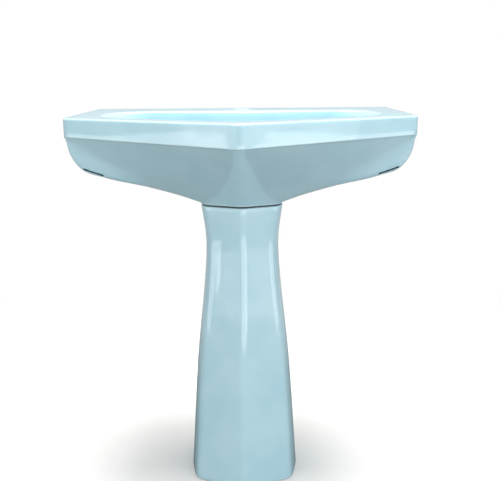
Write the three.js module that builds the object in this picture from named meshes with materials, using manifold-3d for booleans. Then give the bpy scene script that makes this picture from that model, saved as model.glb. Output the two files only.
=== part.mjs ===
// A free-standing pedestal sink in glazed vitreous china: a broad basin with a pointed prow and a
// faceted hull underneath, on a hollow ridged pedestal, with its waste, plug, bottle trap and fixings.
// Millimetres, +Z up. The front points along -Y, and the wall behind is at the largest Y.
// The origin is on the floor, under the middle of the basin's box.

import * as THREE from "three";
import { mergeVertices } from "three/addons/utils/BufferGeometryUtils.js";
import Module from "manifold-3d";

const wasm = await Module();
wasm.setup();

// ---- Driving dimensions -------------------------------------------------------------------------

// Basin, seen from above
const RIM_WIDTH = 690;
const RIM_DEPTH = 530;
const PROW_LENGTH = 190; // how far the prow stands in front of the side corners
const PROW_ROUNDING = 16; // along each edge, from the sharp corner
const SIDE_ROUNDING = 22;
const REAR_ROUNDING = 12;

// Basin, seen from the front
const BAND_HEIGHT_PROW = 44;
const BAND_HEIGHT_SIDE = 37;
const BILGE_SETBACK = 18; // from the side corners to the start of the bilge
const BAND_UNDERCUT = 5; // the hull's front starts this far behind the band; the sides run on flush
const RIM_EDGE_ROUNDING = 4;
const BASIN_HEIGHT = 186;
const CHINA_WALL = 11;
const RIM_THICKNESS = 13;

// Neck, where the basin sits on the pedestal
const NECK_HALF_WIDTH = 84;
const NECK_SIDE_WIDTH = 88;
const NECK_DEPTH = 130; // from the ridge to the open back
const NECK_RIDGE_LENGTH = 32; // how far the ridge stands in front of the front edges
const NECK_SIDE_SETBACK = 34; // from the front edges to the widest corners
const NECK_RIDGE_Y = -35;
const NECK_LIP_ROUNDING = 3;

// Bowl
const BOWL_DEPTH = 140;
const FRONT_RIM_WIDTH = 66; // from the prow to the bowl
const SIDE_RIM_WIDTH = 58;
const TAP_DECK_DEPTH = 135; // from the wall to the bowl
const BOWL_CORNER_ROUNDING = 78;
const BOWL_TAPER = 0.93; // the bowl's back corners, as a share of its half width

// Tap hole, overflow, side slots and service opening
const TAP_HOLE_DIAMETER = 35;
const TAP_HOLE_FROM_WALL = 68;
const OVERFLOW_HOLE_DIAMETER = 9;
const OVERFLOW_HOLE_SPACING = 15;
const OVERFLOW_HOLES = 3;
const OVERFLOW_DROP = 34; // below the rim
const CHANNEL_BORE_WIDTH = 40;
const CHANNEL_BORE_THICKNESS = 7;
const CHANNEL_WALL = 6;
const CHANNEL_TUCK = 22; // how far the channel has come forward at its bend
const CHANNEL_LEVEL_LENGTH = 18; // of its level end, before the waste hole
const CHANNEL_OUTLET_DROP = 10; // from the bottom of the bowl to the middle of the channel's end
const SLOT_LENGTH = 42;
const SLOT_WIDTH = 4;
const SLOT_DEPTH = 60;
const SLOT_PLACE = 0.317; // share of the way along the bilge, from the band to the neck
const SLOT_RAISE = 9.5; // above the bilge
const SLOT_SLOPE = 0.37; // radians, down towards the neck
const SERVICE_WIDTH = 230;
const SERVICE_DEPTH = 105;
const SERVICE_FROM_WALL = 26;
const SERVICE_TOP = 0.54; // depth of its top below the rim, as a share of the basin's height

// Waste fitting, in the bottom of the bowl
const WASTE_Y = 30;
const WASTE_HOLE_SLACK = 5.2; // between the hole and the tail, across
const WASTE_TAIL_DIAMETER = 41.8;
const WASTE_BORE_DIAMETER = 32;
const WASTE_FLANGE_OVERLAP = 8; // of the flange over the hole, all round
const WASTE_FLANGE_THICKNESS = 2.4;
const WASTE_MOUTH_DIAMETER = 43;
const WASTE_SEAT_DEPTH = 10.4; // depth of the conical mouth
const WASTE_TAIL_LENGTH = 90;
const WASTE_BAR_WIDTH = 3;
const SEAL_THICKNESS = 1.5;
const LOWER_WASHER_THICKNESS = 3;
const LOWER_WASHER_OVERLAP = 9.5;
const WASTE_BOSS_MARGIN = 3; // of the china round the lower washer
const BACKNUT_FLATS = 58;
const BACKNUT_HEIGHT = 8;

// Plug
const PLUG_SEAT_DROP = 1.4; // of the seal's top below the flange
const PLUG_SEAL_HEIGHT = 3.5;
const PLUG_DISC_HEIGHT = 3;
const PLUG_FOOT_HEIGHT = 3.2;
const PLUG_WAIST_DIAMETER = 28;
const KNOB_DIAMETER = 17;
const KNOB_HEIGHT = 17;

// Bottle trap and outlet
const TRAP_PIPE_DIAMETER = 32;
const TRAP_PIPE_WALL = 2;
const TRAP_PIPE_FLANGE = 2; // thickness of the collar at the pipe's top
const TRAP_PIPE_EXPOSED = 20; // between the inlet nut and the bottle
const BOTTLE_DIAMETER = 66;
const BOTTLE_WALL = 2.5;
const BOTTLE_SHOULDER = 6;
const BOTTLE_PLAIN_HEIGHT = 5; // between the spigot and the cup
const CUP_WALL = 2.7;
const CUP_SEAL_THICKNESS = 1.8;
const CUP_OVERLAP = 8;
const CUP_HEIGHT = 46;
const CUP_FLOOR = 4;
const DIP_LENGTH = 72;
const NUT_WALL = 5.5;
const NUT_LIP = 2.7;
const NUT_GRIP = 14; // length of thread inside a slip nut
const SLIP_WASHER_THICKNESS = 2;
const SPIGOT_LENGTH = 24;
const SPIGOT_INSERTION = 14;
const SPIGOT_WALL = 4.2;
const SPIGOT_DROP = 2; // of the spigot below the bottle's shoulder
const WALL_FLANGE_DIAMETER = 64;
const WALL_FLANGE_HEIGHT = 9;
const WALL_FLANGE_SHEET = 1.6;

// Wall fixings
const STUD_SPACING = 280;
const STUD_DROP = 62; // below the rim
const STUD_DIAMETER = 10;
const STUD_HOLE_SLACK = 4; // between the hole and the stud, across
const STUD_LENGTH = 42;
const STUD_PAD_DIAMETER = 44;
const STUD_PAD_THICKNESS = 8;
const BUSH_COLLAR_DIAMETER = 30;
const BUSH_COLLAR_THICKNESS = 3;
const STUD_NUT_FLATS = 17;
const STUD_NUT_HEIGHT = 8;

// Pedestal
const PEDESTAL_HEIGHT = 611;
const WAIST_DROP = 86; // from the pedestal's top down to its waist
const WAIST_HALF_WIDTH = 69;
const WAIST_SIDE_WIDTH = 79;
const FOOT_HALF_WIDTH = 106;
const FOOT_SIDE_WIDTH = 120;
const FOOT_RIDGE_Y = -90;
const FOOT_RIDGE_LENGTH = 45;
const FOOT_SIDE_SETBACK = 66; // from the foot's front edges to its widest corners
const WAIST_SIDE_SETBACK = 36;
const BACK_TOE_IN = 5; // of the back edges, from the widest corners
const FOOT_BACK_Y = 100;
const RIDGE_ROUNDING = 12;
const PEDESTAL_EDGE_ROUNDING = 14;
const CUSHION_THICKNESS = 2.4;
const CUSHION_WIDTH = 6;
const CUSHION_INSET = 2;

// Floor fixings
const LUG_WIDTH = 30;
const LUG_LENGTH = 34;
const LUG_HEIGHT = 14;
const LUG_INSET = 6; // between the lug and the pedestal's wall
const LUG_FROM_BACK = 4;
const SCREW_DIAMETER = 7;
const SCREW_HOLE_SLACK = 2; // between the hole and the screw, across
const SCREW_HEAD_DIAMETER = 13;
const SCREW_HEAD_HEIGHT = 4.5;
const SCREW_WASHER_DIAMETER = 18;
const SCREW_WASHER_THICKNESS = 2;
const SCREW_CAP_DIAMETER = 24;
const SCREW_CAP_WALL = 1.8;
const SCREW_CAP_HEADROOM = 3;

// Clearances
const GAP = 0.3; // between pieces that touch
const CUT_PAST = 6; // how far a cutter runs past the face that it cuts

// Fineness of the round shapes
const CORNER_STEPS = 4;
const ROUND_STEPS = 24;

// ---- Sizes that follow --------------------------------------------------------------------------

const RIM_HALF = RIM_WIDTH / 2;
const PROW_SLOPE = PROW_LENGTH / RIM_HALF;
const PROW_ROUNDED_OFF = 0.5 * PROW_ROUNDING * Math.sin(Math.atan(PROW_SLOPE));
const PROW_Y = -RIM_DEPTH / 2 - PROW_ROUNDED_OFF; // the sharp corner, in front of its own round
const CORNER_Y = PROW_Y + PROW_LENGTH;
const WALL_Y = RIM_DEPTH / 2;
const RIM_TOP = PEDESTAL_HEIGHT + GAP + CUSHION_THICKNESS + GAP + BASIN_HEIGHT;
const WASTE_HOLE_DIAMETER = WASTE_TAIL_DIAMETER + WASTE_HOLE_SLACK;
const WASTE_FLANGE_DIAMETER = WASTE_HOLE_DIAMETER + 2 * WASTE_FLANGE_OVERLAP;
const LOWER_WASHER_DIAMETER = WASTE_HOLE_DIAMETER + 2 * LOWER_WASHER_OVERLAP;
const TRAP_PIPE_BORE = TRAP_PIPE_DIAMETER - 2 * TRAP_PIPE_WALL;
const PIPE_HOLE = TRAP_PIPE_DIAMETER + 2 * GAP;
const SPIGOT_THREAD_DIAMETER = PIPE_HOLE + 2 * SPIGOT_WALL;
const BOTTLE_HEIGHT = SPIGOT_DROP + SPIGOT_THREAD_DIAMETER + BOTTLE_PLAIN_HEIGHT + CUP_OVERLAP;
const CUP_DIAMETER = BOTTLE_DIAMETER + 2 * GAP + 2 * CUP_WALL;
const STUD_HOLE_DIAMETER = STUD_DIAMETER + STUD_HOLE_SLACK;
const SCREW_HOLE_DIAMETER = SCREW_DIAMETER + SCREW_HOLE_SLACK;

// ---- Finishes -----------------------------------------------------------------------------------

function finish(color, roughness, metalness) {
  return new THREE.MeshStandardMaterial({ color, roughness, metalness });
}

const CHINA = finish(0xb4d3dd, 0.08, 0);
const CHROME = finish(0xd9dcde, 0.12, 1);
const BRASS = finish(0xb9995a, 0.35, 1);
const ZINC_STEEL = finish(0xa9adb0, 0.4, 1);
const RUBBER = finish(0x2b2c2d, 0.8, 0);
const NYLON = finish(0xe9e8e2, 0.5, 0);

// ---- Solids -------------------------------------------------------------------------------------

// Gives a geometry's corners and triangles with shared corners merged and slivers left out.
function weld(geometry) {
  const bare = geometry.clone();
  bare.deleteAttribute("normal");
  bare.deleteAttribute("uv");
  const merged = mergeVertices(bare, 1e-4);
  const corners = Float32Array.from(merged.attributes.position.array);
  const faces = [];
  for (let i = 0; i < merged.index.count; i += 3) {
    const [a, b, c] = [0, 1, 2].map((k) => merged.index.getX(i + k));
    if (a !== b && b !== c && c !== a) {
      faces.push([a, b, c]);
    }
  }
  return { corners, faces };
}

function signedVolume({ corners, faces }) {
  const at = (i) => new THREE.Vector3().fromArray(corners, i * 3);
  return faces.reduce((sum, [a, b, c]) => sum + at(a).dot(at(b).cross(at(c))), 0) / 6;
}

// Turns a closed geometry into a solid, with its faces pointing out.
function solid(geometry) {
  const mesh = weld(geometry);
  const outward = signedVolume(mesh) > 0 ? mesh.faces : mesh.faces.map(([a, b, c]) => [a, c, b]);
  const triVerts = Uint32Array.from(outward.flat());
  return new wasm.Manifold(new wasm.Mesh({ numProp: 3, vertProperties: mesh.corners, triVerts }));
}

function geometryOf(shape) {
  const mesh = shape.getMesh();
  const geometry = new THREE.BufferGeometry();
  geometry.setAttribute("position", new THREE.BufferAttribute(mesh.vertProperties, 3));
  geometry.setIndex(new THREE.BufferAttribute(mesh.triVerts, 1));
  geometry.computeVertexNormals();
  return geometry;
}

// Skins a stack of closed rings, listed upwards and each counterclockwise from above, and closes
// the two ends.
function loft(rings) {
  const count = rings[0].length;
  const faces = [];
  for (let ring = 0; ring + 1 < rings.length; ring++) {
    for (let i = 0; i < count; i++) {
      const here = ring * count + i;
      const next = ring * count + ((i + 1) % count);
      faces.push(here, next, next + count, here, next + count, here + count);
    }
  }
  const top = (rings.length - 1) * count;
  for (const [a, b, c] of THREE.ShapeUtils.triangulateShape(rings[0], [])) {
    faces.push(c, b, a);
  }
  for (const [a, b, c] of THREE.ShapeUtils.triangulateShape(rings.at(-1), [])) {
    faces.push(top + a, top + b, top + c);
  }
  const geometry = new THREE.BufferGeometry().setFromPoints(rings.flat());
  geometry.setIndex(faces);
  return solid(geometry);
}

// Rounds every corner of an outline. Each corner is { at, cut }, with cut the length that the round
// takes from the two edges that meet there, or less on an edge too short for both its rounds.
function roundedRing(corners, steps = CORNER_STEPS) {
  return corners.flatMap(({ at, cut }, i) => {
    const towards = (next) => {
      const edge = next.at.clone().sub(at);
      return at.clone().add(edge.setLength(Math.min(cut, 0.45 * edge.length())));
    };
    const start = towards(corners.at(i - 1));
    const end = towards(corners[(i + 1) % corners.length]);
    return new THREE.QuadraticBezierCurve3(start, at, end).getPoints(steps);
  });
}

// Completes the corners of the right half, listed from the prow round to the back, with the left.
function mirrored(front, rightSide) {
  const leftSide = rightSide.map(({ at, cut }) => ({ at: point(-at.x, at.y, at.z), cut })).reverse();
  return [front, ...rightSide, ...leftSide];
}

function point(x, y, z) {
  return new THREE.Vector3(x, y, z);
}

// A body turned about Z from a closed profile of [radius, height] pairs.
function turned(profile, steps = ROUND_STEPS) {
  const outline = [...profile, profile[0]].map(([radius, height]) => new THREE.Vector2(radius, height));
  return solid(new THREE.LatheGeometry(outline, steps).rotateX(Math.PI / 2));
}

function disc(diameter, low, high, steps = ROUND_STEPS) {
  const radius = diameter / 2;
  return turned([[0, low], [radius, low], [radius, high], [0, high]], steps);
}

function washer(outer, inner, low, high) {
  const [wide, narrow] = [outer / 2, inner / 2];
  return turned([[narrow, low], [wide, low], [wide, high], [narrow, high]]);
}

function block(width, depth, height, x, y, z) {
  return solid(new THREE.BoxGeometry(width, depth, height).translate(x, y, z));
}

// A hexagon nut about Z, with a plain hole in place of its thread.
function hexNut(flats, hole, low, high) {
  const outline = new THREE.Shape();
  const corner = flats / Math.sqrt(3);
  for (let i = 0; i < 6; i++) {
    const angle = (i * Math.PI) / 3;
    outline[i ? "lineTo" : "moveTo"](corner * Math.cos(angle), corner * Math.sin(angle));
  }
  outline.closePath();
  outline.holes.push(new THREE.Path().absarc(0, 0, hole / 2, 0, 2 * Math.PI, true));
  const settings = { depth: high - low, bevelEnabled: false, curveSegments: ROUND_STEPS / 2 };
  return solid(new THREE.ExtrudeGeometry(outline, settings).translate(0, 0, low));
}

function named(name, shape, material) {
  const mesh = new THREE.Mesh(geometryOf(shape), material);
  mesh.name = name;
  return mesh;
}

// ---- Basin: outer hull --------------------------------------------------------------------------
// Heights are from the top of the rim downwards, so they are negative.

const NECK_Z = -BASIN_HEIGHT + NECK_LIP_ROUNDING;
const NECK_EDGE_Y = NECK_RIDGE_Y + NECK_RIDGE_LENGTH;
const NECK_BACK_Y = NECK_RIDGE_Y + NECK_DEPTH;

// The four lines that the hull is stretched over, each from the band down to the neck: the spine
// under the prow, the chine between the front and side facets, the bilge below the side facet, and
// the rear line. Shares run from 0 at the band to 1 at the neck.
function hullLine(start, end, shares) {
  const between = shares.map(([across, along, down]) =>
    point(
      THREE.MathUtils.lerp(start.x, end.x, across),
      THREE.MathUtils.lerp(start.y, end.y, along),
      THREE.MathUtils.lerp(start.z, end.z, down),
    ),
  );
  return new THREE.CatmullRomCurve3([start, ...between, end], false, "chordal");
}

function hullLines(inset) {
  const half = RIM_HALF - inset;
  const sideTop = -BAND_HEIGHT_SIDE;
  const floor = NECK_Z;
  return {
    spine: hullLine(
      point(0, PROW_Y + BAND_UNDERCUT + 1.25 * inset, -BAND_HEIGHT_PROW),
      point(0, NECK_RIDGE_Y + inset, floor),
      [[0, 0.5, 0.47]],
    ),
    chine: hullLine(
      point(half, CORNER_Y + BAND_UNDERCUT + 0.5 * inset, sideTop),
      point(NECK_HALF_WIDTH - inset, NECK_EDGE_Y + 0.8 * inset, floor),
      [[0.17, 0.2, 0.23], [0.45, 0.45, 0.53], [0.74, 0.74, 0.78]],
    ),
    bilge: hullLine(
      point(half, CORNER_Y + BILGE_SETBACK + inset, sideTop),
      point(NECK_SIDE_WIDTH - inset, NECK_EDGE_Y + NECK_SIDE_SETBACK, floor),
      [[0.014, 0.06, 0.267], [0.09, 0.14, 0.485], [0.243, 0.27, 0.6], [0.58, 0.58, 0.765]],
    ),
    rear: hullLine(
      point(half, WALL_Y - inset, sideTop),
      point(NECK_HALF_WIDTH - inset, NECK_BACK_Y - inset, floor),
      [[0.03, 0, 0.24], [0.18, 0, 0.44], [0.6, 0.2, 0.62]],
    ),
  };
}

function hullRing(lines, share, lift) {
  const at = (line) => {
    const place = line.getPointAt(share);
    return point(place.x, Math.min(place.y, WALL_Y), place.z + lift);
  };
  const front = { at: at(lines.spine), cut: PROW_ROUNDING };
  const rightSide = [
    { at: at(lines.chine), cut: SIDE_ROUNDING },
    { at: at(lines.bilge), cut: SIDE_ROUNDING },
    { at: at(lines.rear), cut: REAR_ROUNDING },
  ];
  return roundedRing(mirrored(front, rightSide));
}

// One ring of the band, moved in from its outer faces.
function bandRing(inset, prowZ, sideZ) {
  const slant = inset * Math.hypot(1, PROW_SLOPE);
  const half = RIM_HALF - inset;
  const cornerY = CORNER_Y + slant - inset * PROW_SLOPE;
  const front = { at: point(0, PROW_Y + slant, prowZ), cut: PROW_ROUNDING };
  const rightSide = [
    { at: point(half, cornerY, sideZ), cut: SIDE_ROUNDING },
    { at: point(half, CORNER_Y + 2 * BILGE_SETBACK, sideZ), cut: SIDE_ROUNDING / 2 },
    { at: point(half, WALL_Y - inset, sideZ), cut: REAR_ROUNDING },
  ];
  return roundedRing(mirrored(front, rightSide));
}

function neckRing(inset, z) {
  const front = { at: point(0, NECK_RIDGE_Y + inset, z), cut: PROW_ROUNDING };
  const rightSide = [
    { at: point(NECK_HALF_WIDTH - inset, NECK_EDGE_Y + 0.8 * inset, z), cut: SIDE_ROUNDING },
    { at: point(NECK_SIDE_WIDTH - inset, NECK_EDGE_Y + NECK_SIDE_SETBACK, z), cut: SIDE_ROUNDING },
    { at: point(NECK_HALF_WIDTH - inset, NECK_BACK_Y - inset, z), cut: REAR_ROUNDING },
  ];
  return roundedRing(mirrored(front, rightSide));
}

function hullOuter() {
  const lines = hullLines(0);
  const steps = 12;
  const rings = [neckRing(NECK_LIP_ROUNDING, -BASIN_HEIGHT)];
  for (let i = 0; i <= steps; i++) {
    rings.push(hullRing(lines, 1 - i / steps, 0));
  }
  const [prowLow, sideLow] = [-BAND_HEIGHT_PROW + BAND_UNDERCUT / 2, -BAND_HEIGHT_SIDE + BAND_UNDERCUT / 2];
  rings.push(bandRing(0, prowLow, sideLow));
  rings.push(bandRing(0, -RIM_EDGE_ROUNDING, -RIM_EDGE_ROUNDING));
  rings.push(bandRing(0.3 * RIM_EDGE_ROUNDING, -0.3 * RIM_EDGE_ROUNDING, -0.3 * RIM_EDGE_ROUNDING));
  rings.push(bandRing(RIM_EDGE_ROUNDING, 0, 0));
  return loft(rings);
}

// The hollow between the hull and the bowl, before the bowl is taken from it.
function hullHollow() {
  const lines = hullLines(CHINA_WALL);
  const steps = 5;
  const rings = [neckRing(CHINA_WALL, -BASIN_HEIGHT - CUT_PAST)];
  for (let i = 0; i <= steps; i++) {
    rings.push(hullRing(lines, 1 - i / steps, 0.8 * CHINA_WALL));
  }
  rings.push(bandRing(CHINA_WALL + BAND_UNDERCUT, -RIM_THICKNESS, -RIM_THICKNESS));
  return loft(rings);
}

// ---- Basin: bowl --------------------------------------------------------------------------------

const BOWL_FRONT_Y = PROW_Y + FRONT_RIM_WIDTH;
const BOWL_BACK_Y = WALL_Y - TAP_DECK_DEPTH;
const BOWL_HALF = RIM_HALF - SIDE_RIM_WIDTH;

// Shares of the way in from the rim to the waste, with the shares of the depth reached there.
const BOWL_PROFILE = [
  [-0.02, -0.02], [0.0, 0.012], [0.022, 0.08], [0.06, 0.3], [0.13, 0.56], [0.28, 0.78], [0.5, 0.9],
  [0.76, 0.965], [1, 1],
];

function bowlOutline() {
  const front = { at: point(0, BOWL_FRONT_Y, 0), cut: BOWL_CORNER_ROUNDING };
  const rightSide = [
    { at: point(BOWL_HALF, CORNER_Y + 0.5 * SIDE_RIM_WIDTH, 0), cut: BOWL_CORNER_ROUNDING },
    { at: point(BOWL_TAPER * BOWL_HALF, BOWL_BACK_Y, 0), cut: BOWL_CORNER_ROUNDING },
  ];
  return roundedRing(mirrored(front, rightSide), 2 * CORNER_STEPS);
}

// The bowl's inside, or with an offset the outside of its wall.
function bowl(offset) {
  const centre = point(0, WASTE_Y, 0);
  const rings = BOWL_PROFILE.map(([inward, down]) =>
    bowlOutline().map((edge) => {
      const reach = edge.clone().sub(centre);
      const radius = THREE.MathUtils.lerp(reach.length(), WASTE_HOLE_DIAMETER / 2, inward) + offset;
      return centre.clone().add(reach.setLength(radius)).setZ(-BOWL_DEPTH * down - offset);
    }),
  );
  return loft(rings.reverse());
}

// ---- Basin: openings and seats ------------------------------------------------------------------

const CHANNEL_REACH = CHANNEL_WALL + CHANNEL_BORE_THICKNESS / 2;
const BOSS_UNDERSIDE = -BOWL_DEPTH - CHANNEL_OUTLET_DROP - CHANNEL_REACH - 1;
const RECESS_FLOOR = -BOWL_DEPTH - WASTE_FLANGE_THICKNESS - SEAL_THICKNESS - GAP;
const RECESS_DIAMETER = WASTE_FLANGE_DIAMETER + 3;

function wasteBoss() {
  const diameter = LOWER_WASHER_DIAMETER + 2 * WASTE_BOSS_MARGIN;
  return disc(diameter, BOSS_UNDERSIDE, -BOWL_DEPTH + CUT_PAST).translate([0, WASTE_Y, 0]);
}

function wasteCut() {
  const hole = disc(WASTE_HOLE_DIAMETER, BOSS_UNDERSIDE - CUT_PAST, -BOWL_DEPTH + CUT_PAST);
  const recess = disc(RECESS_DIAMETER, RECESS_FLOOR, -BOWL_DEPTH + CUT_PAST);
  return hole.add(recess).translate([0, WASTE_Y, 0]);
}

function tapHole() {
  const hole = disc(TAP_HOLE_DIAMETER, -RIM_THICKNESS - CUT_PAST, CUT_PAST);
  return hole.translate([0, WALL_Y - TAP_HOLE_FROM_WALL, 0]);
}

// The overflow runs in a flat china channel down the back of the bowl, from the row of holes under
// the rim to the side of the waste hole.
function overflowChannel(width, thickness, runPast) {
  const section = new THREE.Shape();
  section.moveTo(-width / 2, -thickness / 2);
  section.lineTo(width / 2, -thickness / 2);
  section.lineTo(width / 2, thickness / 2);
  section.lineTo(-width / 2, thickness / 2);
  section.closePath();
  const path = new THREE.CatmullRomCurve3([
    point(0, BOWL_BACK_Y + CHANNEL_REACH, -OVERFLOW_DROP + OVERFLOW_HOLE_DIAMETER),
    point(0, BOWL_BACK_Y + CHANNEL_REACH - 4, -0.45 * BOWL_DEPTH),
    point(0, BOWL_BACK_Y - CHANNEL_TUCK, -0.84 * BOWL_DEPTH),
    point(0, WASTE_Y + WASTE_HOLE_DIAMETER / 2 + CHANNEL_LEVEL_LENGTH, -BOWL_DEPTH - CHANNEL_OUTLET_DROP),
    point(0, WASTE_Y + WASTE_HOLE_DIAMETER / 2 - runPast, -BOWL_DEPTH - CHANNEL_OUTLET_DROP),
  ]);
  return solid(new THREE.ExtrudeGeometry(section, { steps: 14, bevelEnabled: false, extrudePath: path }));
}

function overflowHoles() {
  const holes = [];
  for (let i = 0; i < OVERFLOW_HOLES; i++) {
    const x = (i - (OVERFLOW_HOLES - 1) / 2) * OVERFLOW_HOLE_SPACING;
    const hole = disc(OVERFLOW_HOLE_DIAMETER, -CHANNEL_WALL - CUT_PAST, 2 * CUT_PAST, 12);
    holes.push(hole.rotate([90, 0, 0]).translate([x, BOWL_BACK_Y + CHANNEL_WALL, -OVERFLOW_DROP]));
  }
  return holes.reduce((all, hole) => all.add(hole));
}

// A narrow slot with round ends through the lower corner of each side facet.
function sideSlot(side) {
  const outline = new THREE.Shape();
  const reach = (SLOT_LENGTH - SLOT_WIDTH) / 2;
  outline.absarc(reach, 0, SLOT_WIDTH / 2, -Math.PI / 2, Math.PI / 2, false);
  outline.absarc(-reach, 0, SLOT_WIDTH / 2, Math.PI / 2, (3 * Math.PI) / 2, false);
  const settings = { depth: SLOT_DEPTH, bevelEnabled: false, curveSegments: 6 };
  const cutter = new THREE.ExtrudeGeometry(outline, settings).rotateX(-Math.PI / 2);
  const middle = hullLines(0).bilge.getPointAt(SLOT_PLACE);
  cutter.rotateY(-side * SLOT_SLOPE);
  return solid(cutter.translate(side * middle.x, middle.y - SLOT_LENGTH / 2, middle.z + SLOT_RAISE));
}

function serviceOpening() {
  const y = WALL_Y - SERVICE_FROM_WALL - SERVICE_DEPTH / 2;
  const middle = -(SERVICE_TOP + 0.5) * BASIN_HEIGHT;
  return block(SERVICE_WIDTH, SERVICE_DEPTH, BASIN_HEIGHT, 0, y, middle);
}

function atStuds(make) {
  return [-1, 1].map((side) => make().translate([(side * STUD_SPACING) / 2, 0, -STUD_DROP]));
}

// A body turned about the way to the wall: its height 0 is at the wall, and heights go forward.
function fromWall(shape) {
  return shape.rotate([90, 0, 0]).translate([0, WALL_Y, 0]);
}

function studPads() {
  const depth = CHINA_WALL + BAND_UNDERCUT + STUD_PAD_THICKNESS;
  const [left, right] = atStuds(() => fromWall(disc(STUD_PAD_DIAMETER, 1, depth)));
  return left.add(right);
}

function studHoles() {
  const reach = CHINA_WALL + BAND_UNDERCUT + STUD_PAD_THICKNESS + CUT_PAST;
  const [left, right] = atStuds(() => fromWall(disc(STUD_HOLE_DIAMETER, -CUT_PAST, reach)));
  return left.add(right);
}

function basin() {
  const channelWidth = CHANNEL_BORE_WIDTH + 2 * CHANNEL_WALL;
  const channelThickness = CHANNEL_BORE_THICKNESS + 2 * CHANNEL_WALL;
  const kept = bowl(CHINA_WALL)
    .add(wasteBoss())
    .add(overflowChannel(channelWidth, channelThickness, 0))
    .add(studPads());
  return hullOuter()
    .subtract(hullHollow().subtract(kept))
    .subtract(bowl(0))
    .subtract(overflowChannel(CHANNEL_BORE_WIDTH, CHANNEL_BORE_THICKNESS, CUT_PAST))
    .subtract(overflowHoles())
    .subtract(wasteCut())
    .subtract(tapHole())
    .subtract(sideSlot(-1))
    .subtract(sideSlot(1))
    .subtract(serviceOpening())
    .subtract(studHoles());
}

// ---- Waste and plug: heights from the rim, about the waste's own axis ----------------------------

const FLANGE_TOP = -BOWL_DEPTH;
const FLANGE_UNDERSIDE = FLANGE_TOP - WASTE_FLANGE_THICKNESS;
const TAIL_END = FLANGE_TOP - WASTE_TAIL_LENGTH;
const WASHER_TOP = BOSS_UNDERSIDE - GAP;
const BACKNUT_TOP = WASHER_TOP - LOWER_WASHER_THICKNESS - GAP;
const THREAD_HOLE = WASTE_TAIL_DIAMETER + 2 * GAP;

// Radius of the flange's conical mouth at a height.
function mouthRadius(z) {
  const share = (FLANGE_TOP - z) / WASTE_SEAT_DEPTH;
  return THREE.MathUtils.lerp(WASTE_MOUTH_DIAMETER, WASTE_BORE_DIAMETER, share) / 2;
}

function wasteBody() {
  const tail = turned([
    [WASTE_BORE_DIAMETER / 2, TAIL_END],
    [WASTE_TAIL_DIAMETER / 2, TAIL_END],
    [WASTE_TAIL_DIAMETER / 2, FLANGE_UNDERSIDE],
    [WASTE_FLANGE_DIAMETER / 2, FLANGE_UNDERSIDE],
    [WASTE_FLANGE_DIAMETER / 2, FLANGE_UNDERSIDE + 1],
    [WASTE_MOUTH_DIAMETER / 2 + 3, FLANGE_TOP],
    [WASTE_MOUTH_DIAMETER / 2, FLANGE_TOP],
    [WASTE_BORE_DIAMETER / 2, FLANGE_TOP - WASTE_SEAT_DEPTH],
  ]);
  const barZ = FLANGE_TOP - 2 * WASTE_SEAT_DEPTH;
  const barLength = WASTE_BORE_DIAMETER + 2;
  const cross = block(barLength, WASTE_BAR_WIDTH, WASTE_BAR_WIDTH, 0, 0, barZ).add(
    block(WASTE_BAR_WIDTH, barLength, WASTE_BAR_WIDTH, 0, 0, barZ),
  );
  const overflowSlot = block(CHANNEL_BORE_WIDTH / 2, WASTE_TAIL_DIAMETER, CHANNEL_BORE_THICKNESS, 0, 0, 0);
  const slotY = WASTE_TAIL_DIAMETER / 2;
  return tail.add(cross).subtract(overflowSlot.translate([0, slotY, FLANGE_TOP - CHANNEL_OUTLET_DROP]));
}

function wasteFlangeSeal() {
  const top = FLANGE_UNDERSIDE - GAP / 2;
  return washer(WASTE_FLANGE_DIAMETER - 2, THREAD_HOLE, top - SEAL_THICKNESS + GAP / 2, top);
}

function wasteLowerWasher() {
  return washer(LOWER_WASHER_DIAMETER, THREAD_HOLE, WASHER_TOP - LOWER_WASHER_THICKNESS, WASHER_TOP);
}

function wasteBacknut() {
  return hexNut(BACKNUT_FLATS, THREAD_HOLE, BACKNUT_TOP - BACKNUT_HEIGHT, BACKNUT_TOP);
}

const PLUG_SEAL_TOP = FLANGE_TOP - PLUG_SEAT_DROP;
const PLUG_SEAL_LOW = PLUG_SEAL_TOP - PLUG_SEAL_HEIGHT;

function plugSeal() {
  return turned([
    [PLUG_WAIST_DIAMETER / 2 + GAP, PLUG_SEAL_LOW],
    [mouthRadius(PLUG_SEAL_LOW) - GAP - 0.1, PLUG_SEAL_LOW],
    [mouthRadius(PLUG_SEAL_TOP) - GAP - 0.1, PLUG_SEAL_TOP],
    [PLUG_WAIST_DIAMETER / 2 + GAP, PLUG_SEAL_TOP],
  ]);
}

function plugBody() {
  const discLow = PLUG_SEAL_TOP + GAP;
  const footTop = PLUG_SEAL_LOW - GAP;
  const footLow = footTop - PLUG_FOOT_HEIGHT;
  const discRadius = mouthRadius(discLow) - 1;
  const footRadius = mouthRadius(footLow) - 1;
  return turned([
    [0, footLow],
    [footRadius, footLow],
    [footRadius, footTop],
    [PLUG_WAIST_DIAMETER / 2, footTop],
    [PLUG_WAIST_DIAMETER / 2, discLow],
    [discRadius, discLow],
    [discRadius, discLow + 0.6 * PLUG_DISC_HEIGHT],
    [0.6 * discRadius, discLow + PLUG_DISC_HEIGHT],
    [0, discLow + PLUG_DISC_HEIGHT],
  ]);
}

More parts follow.
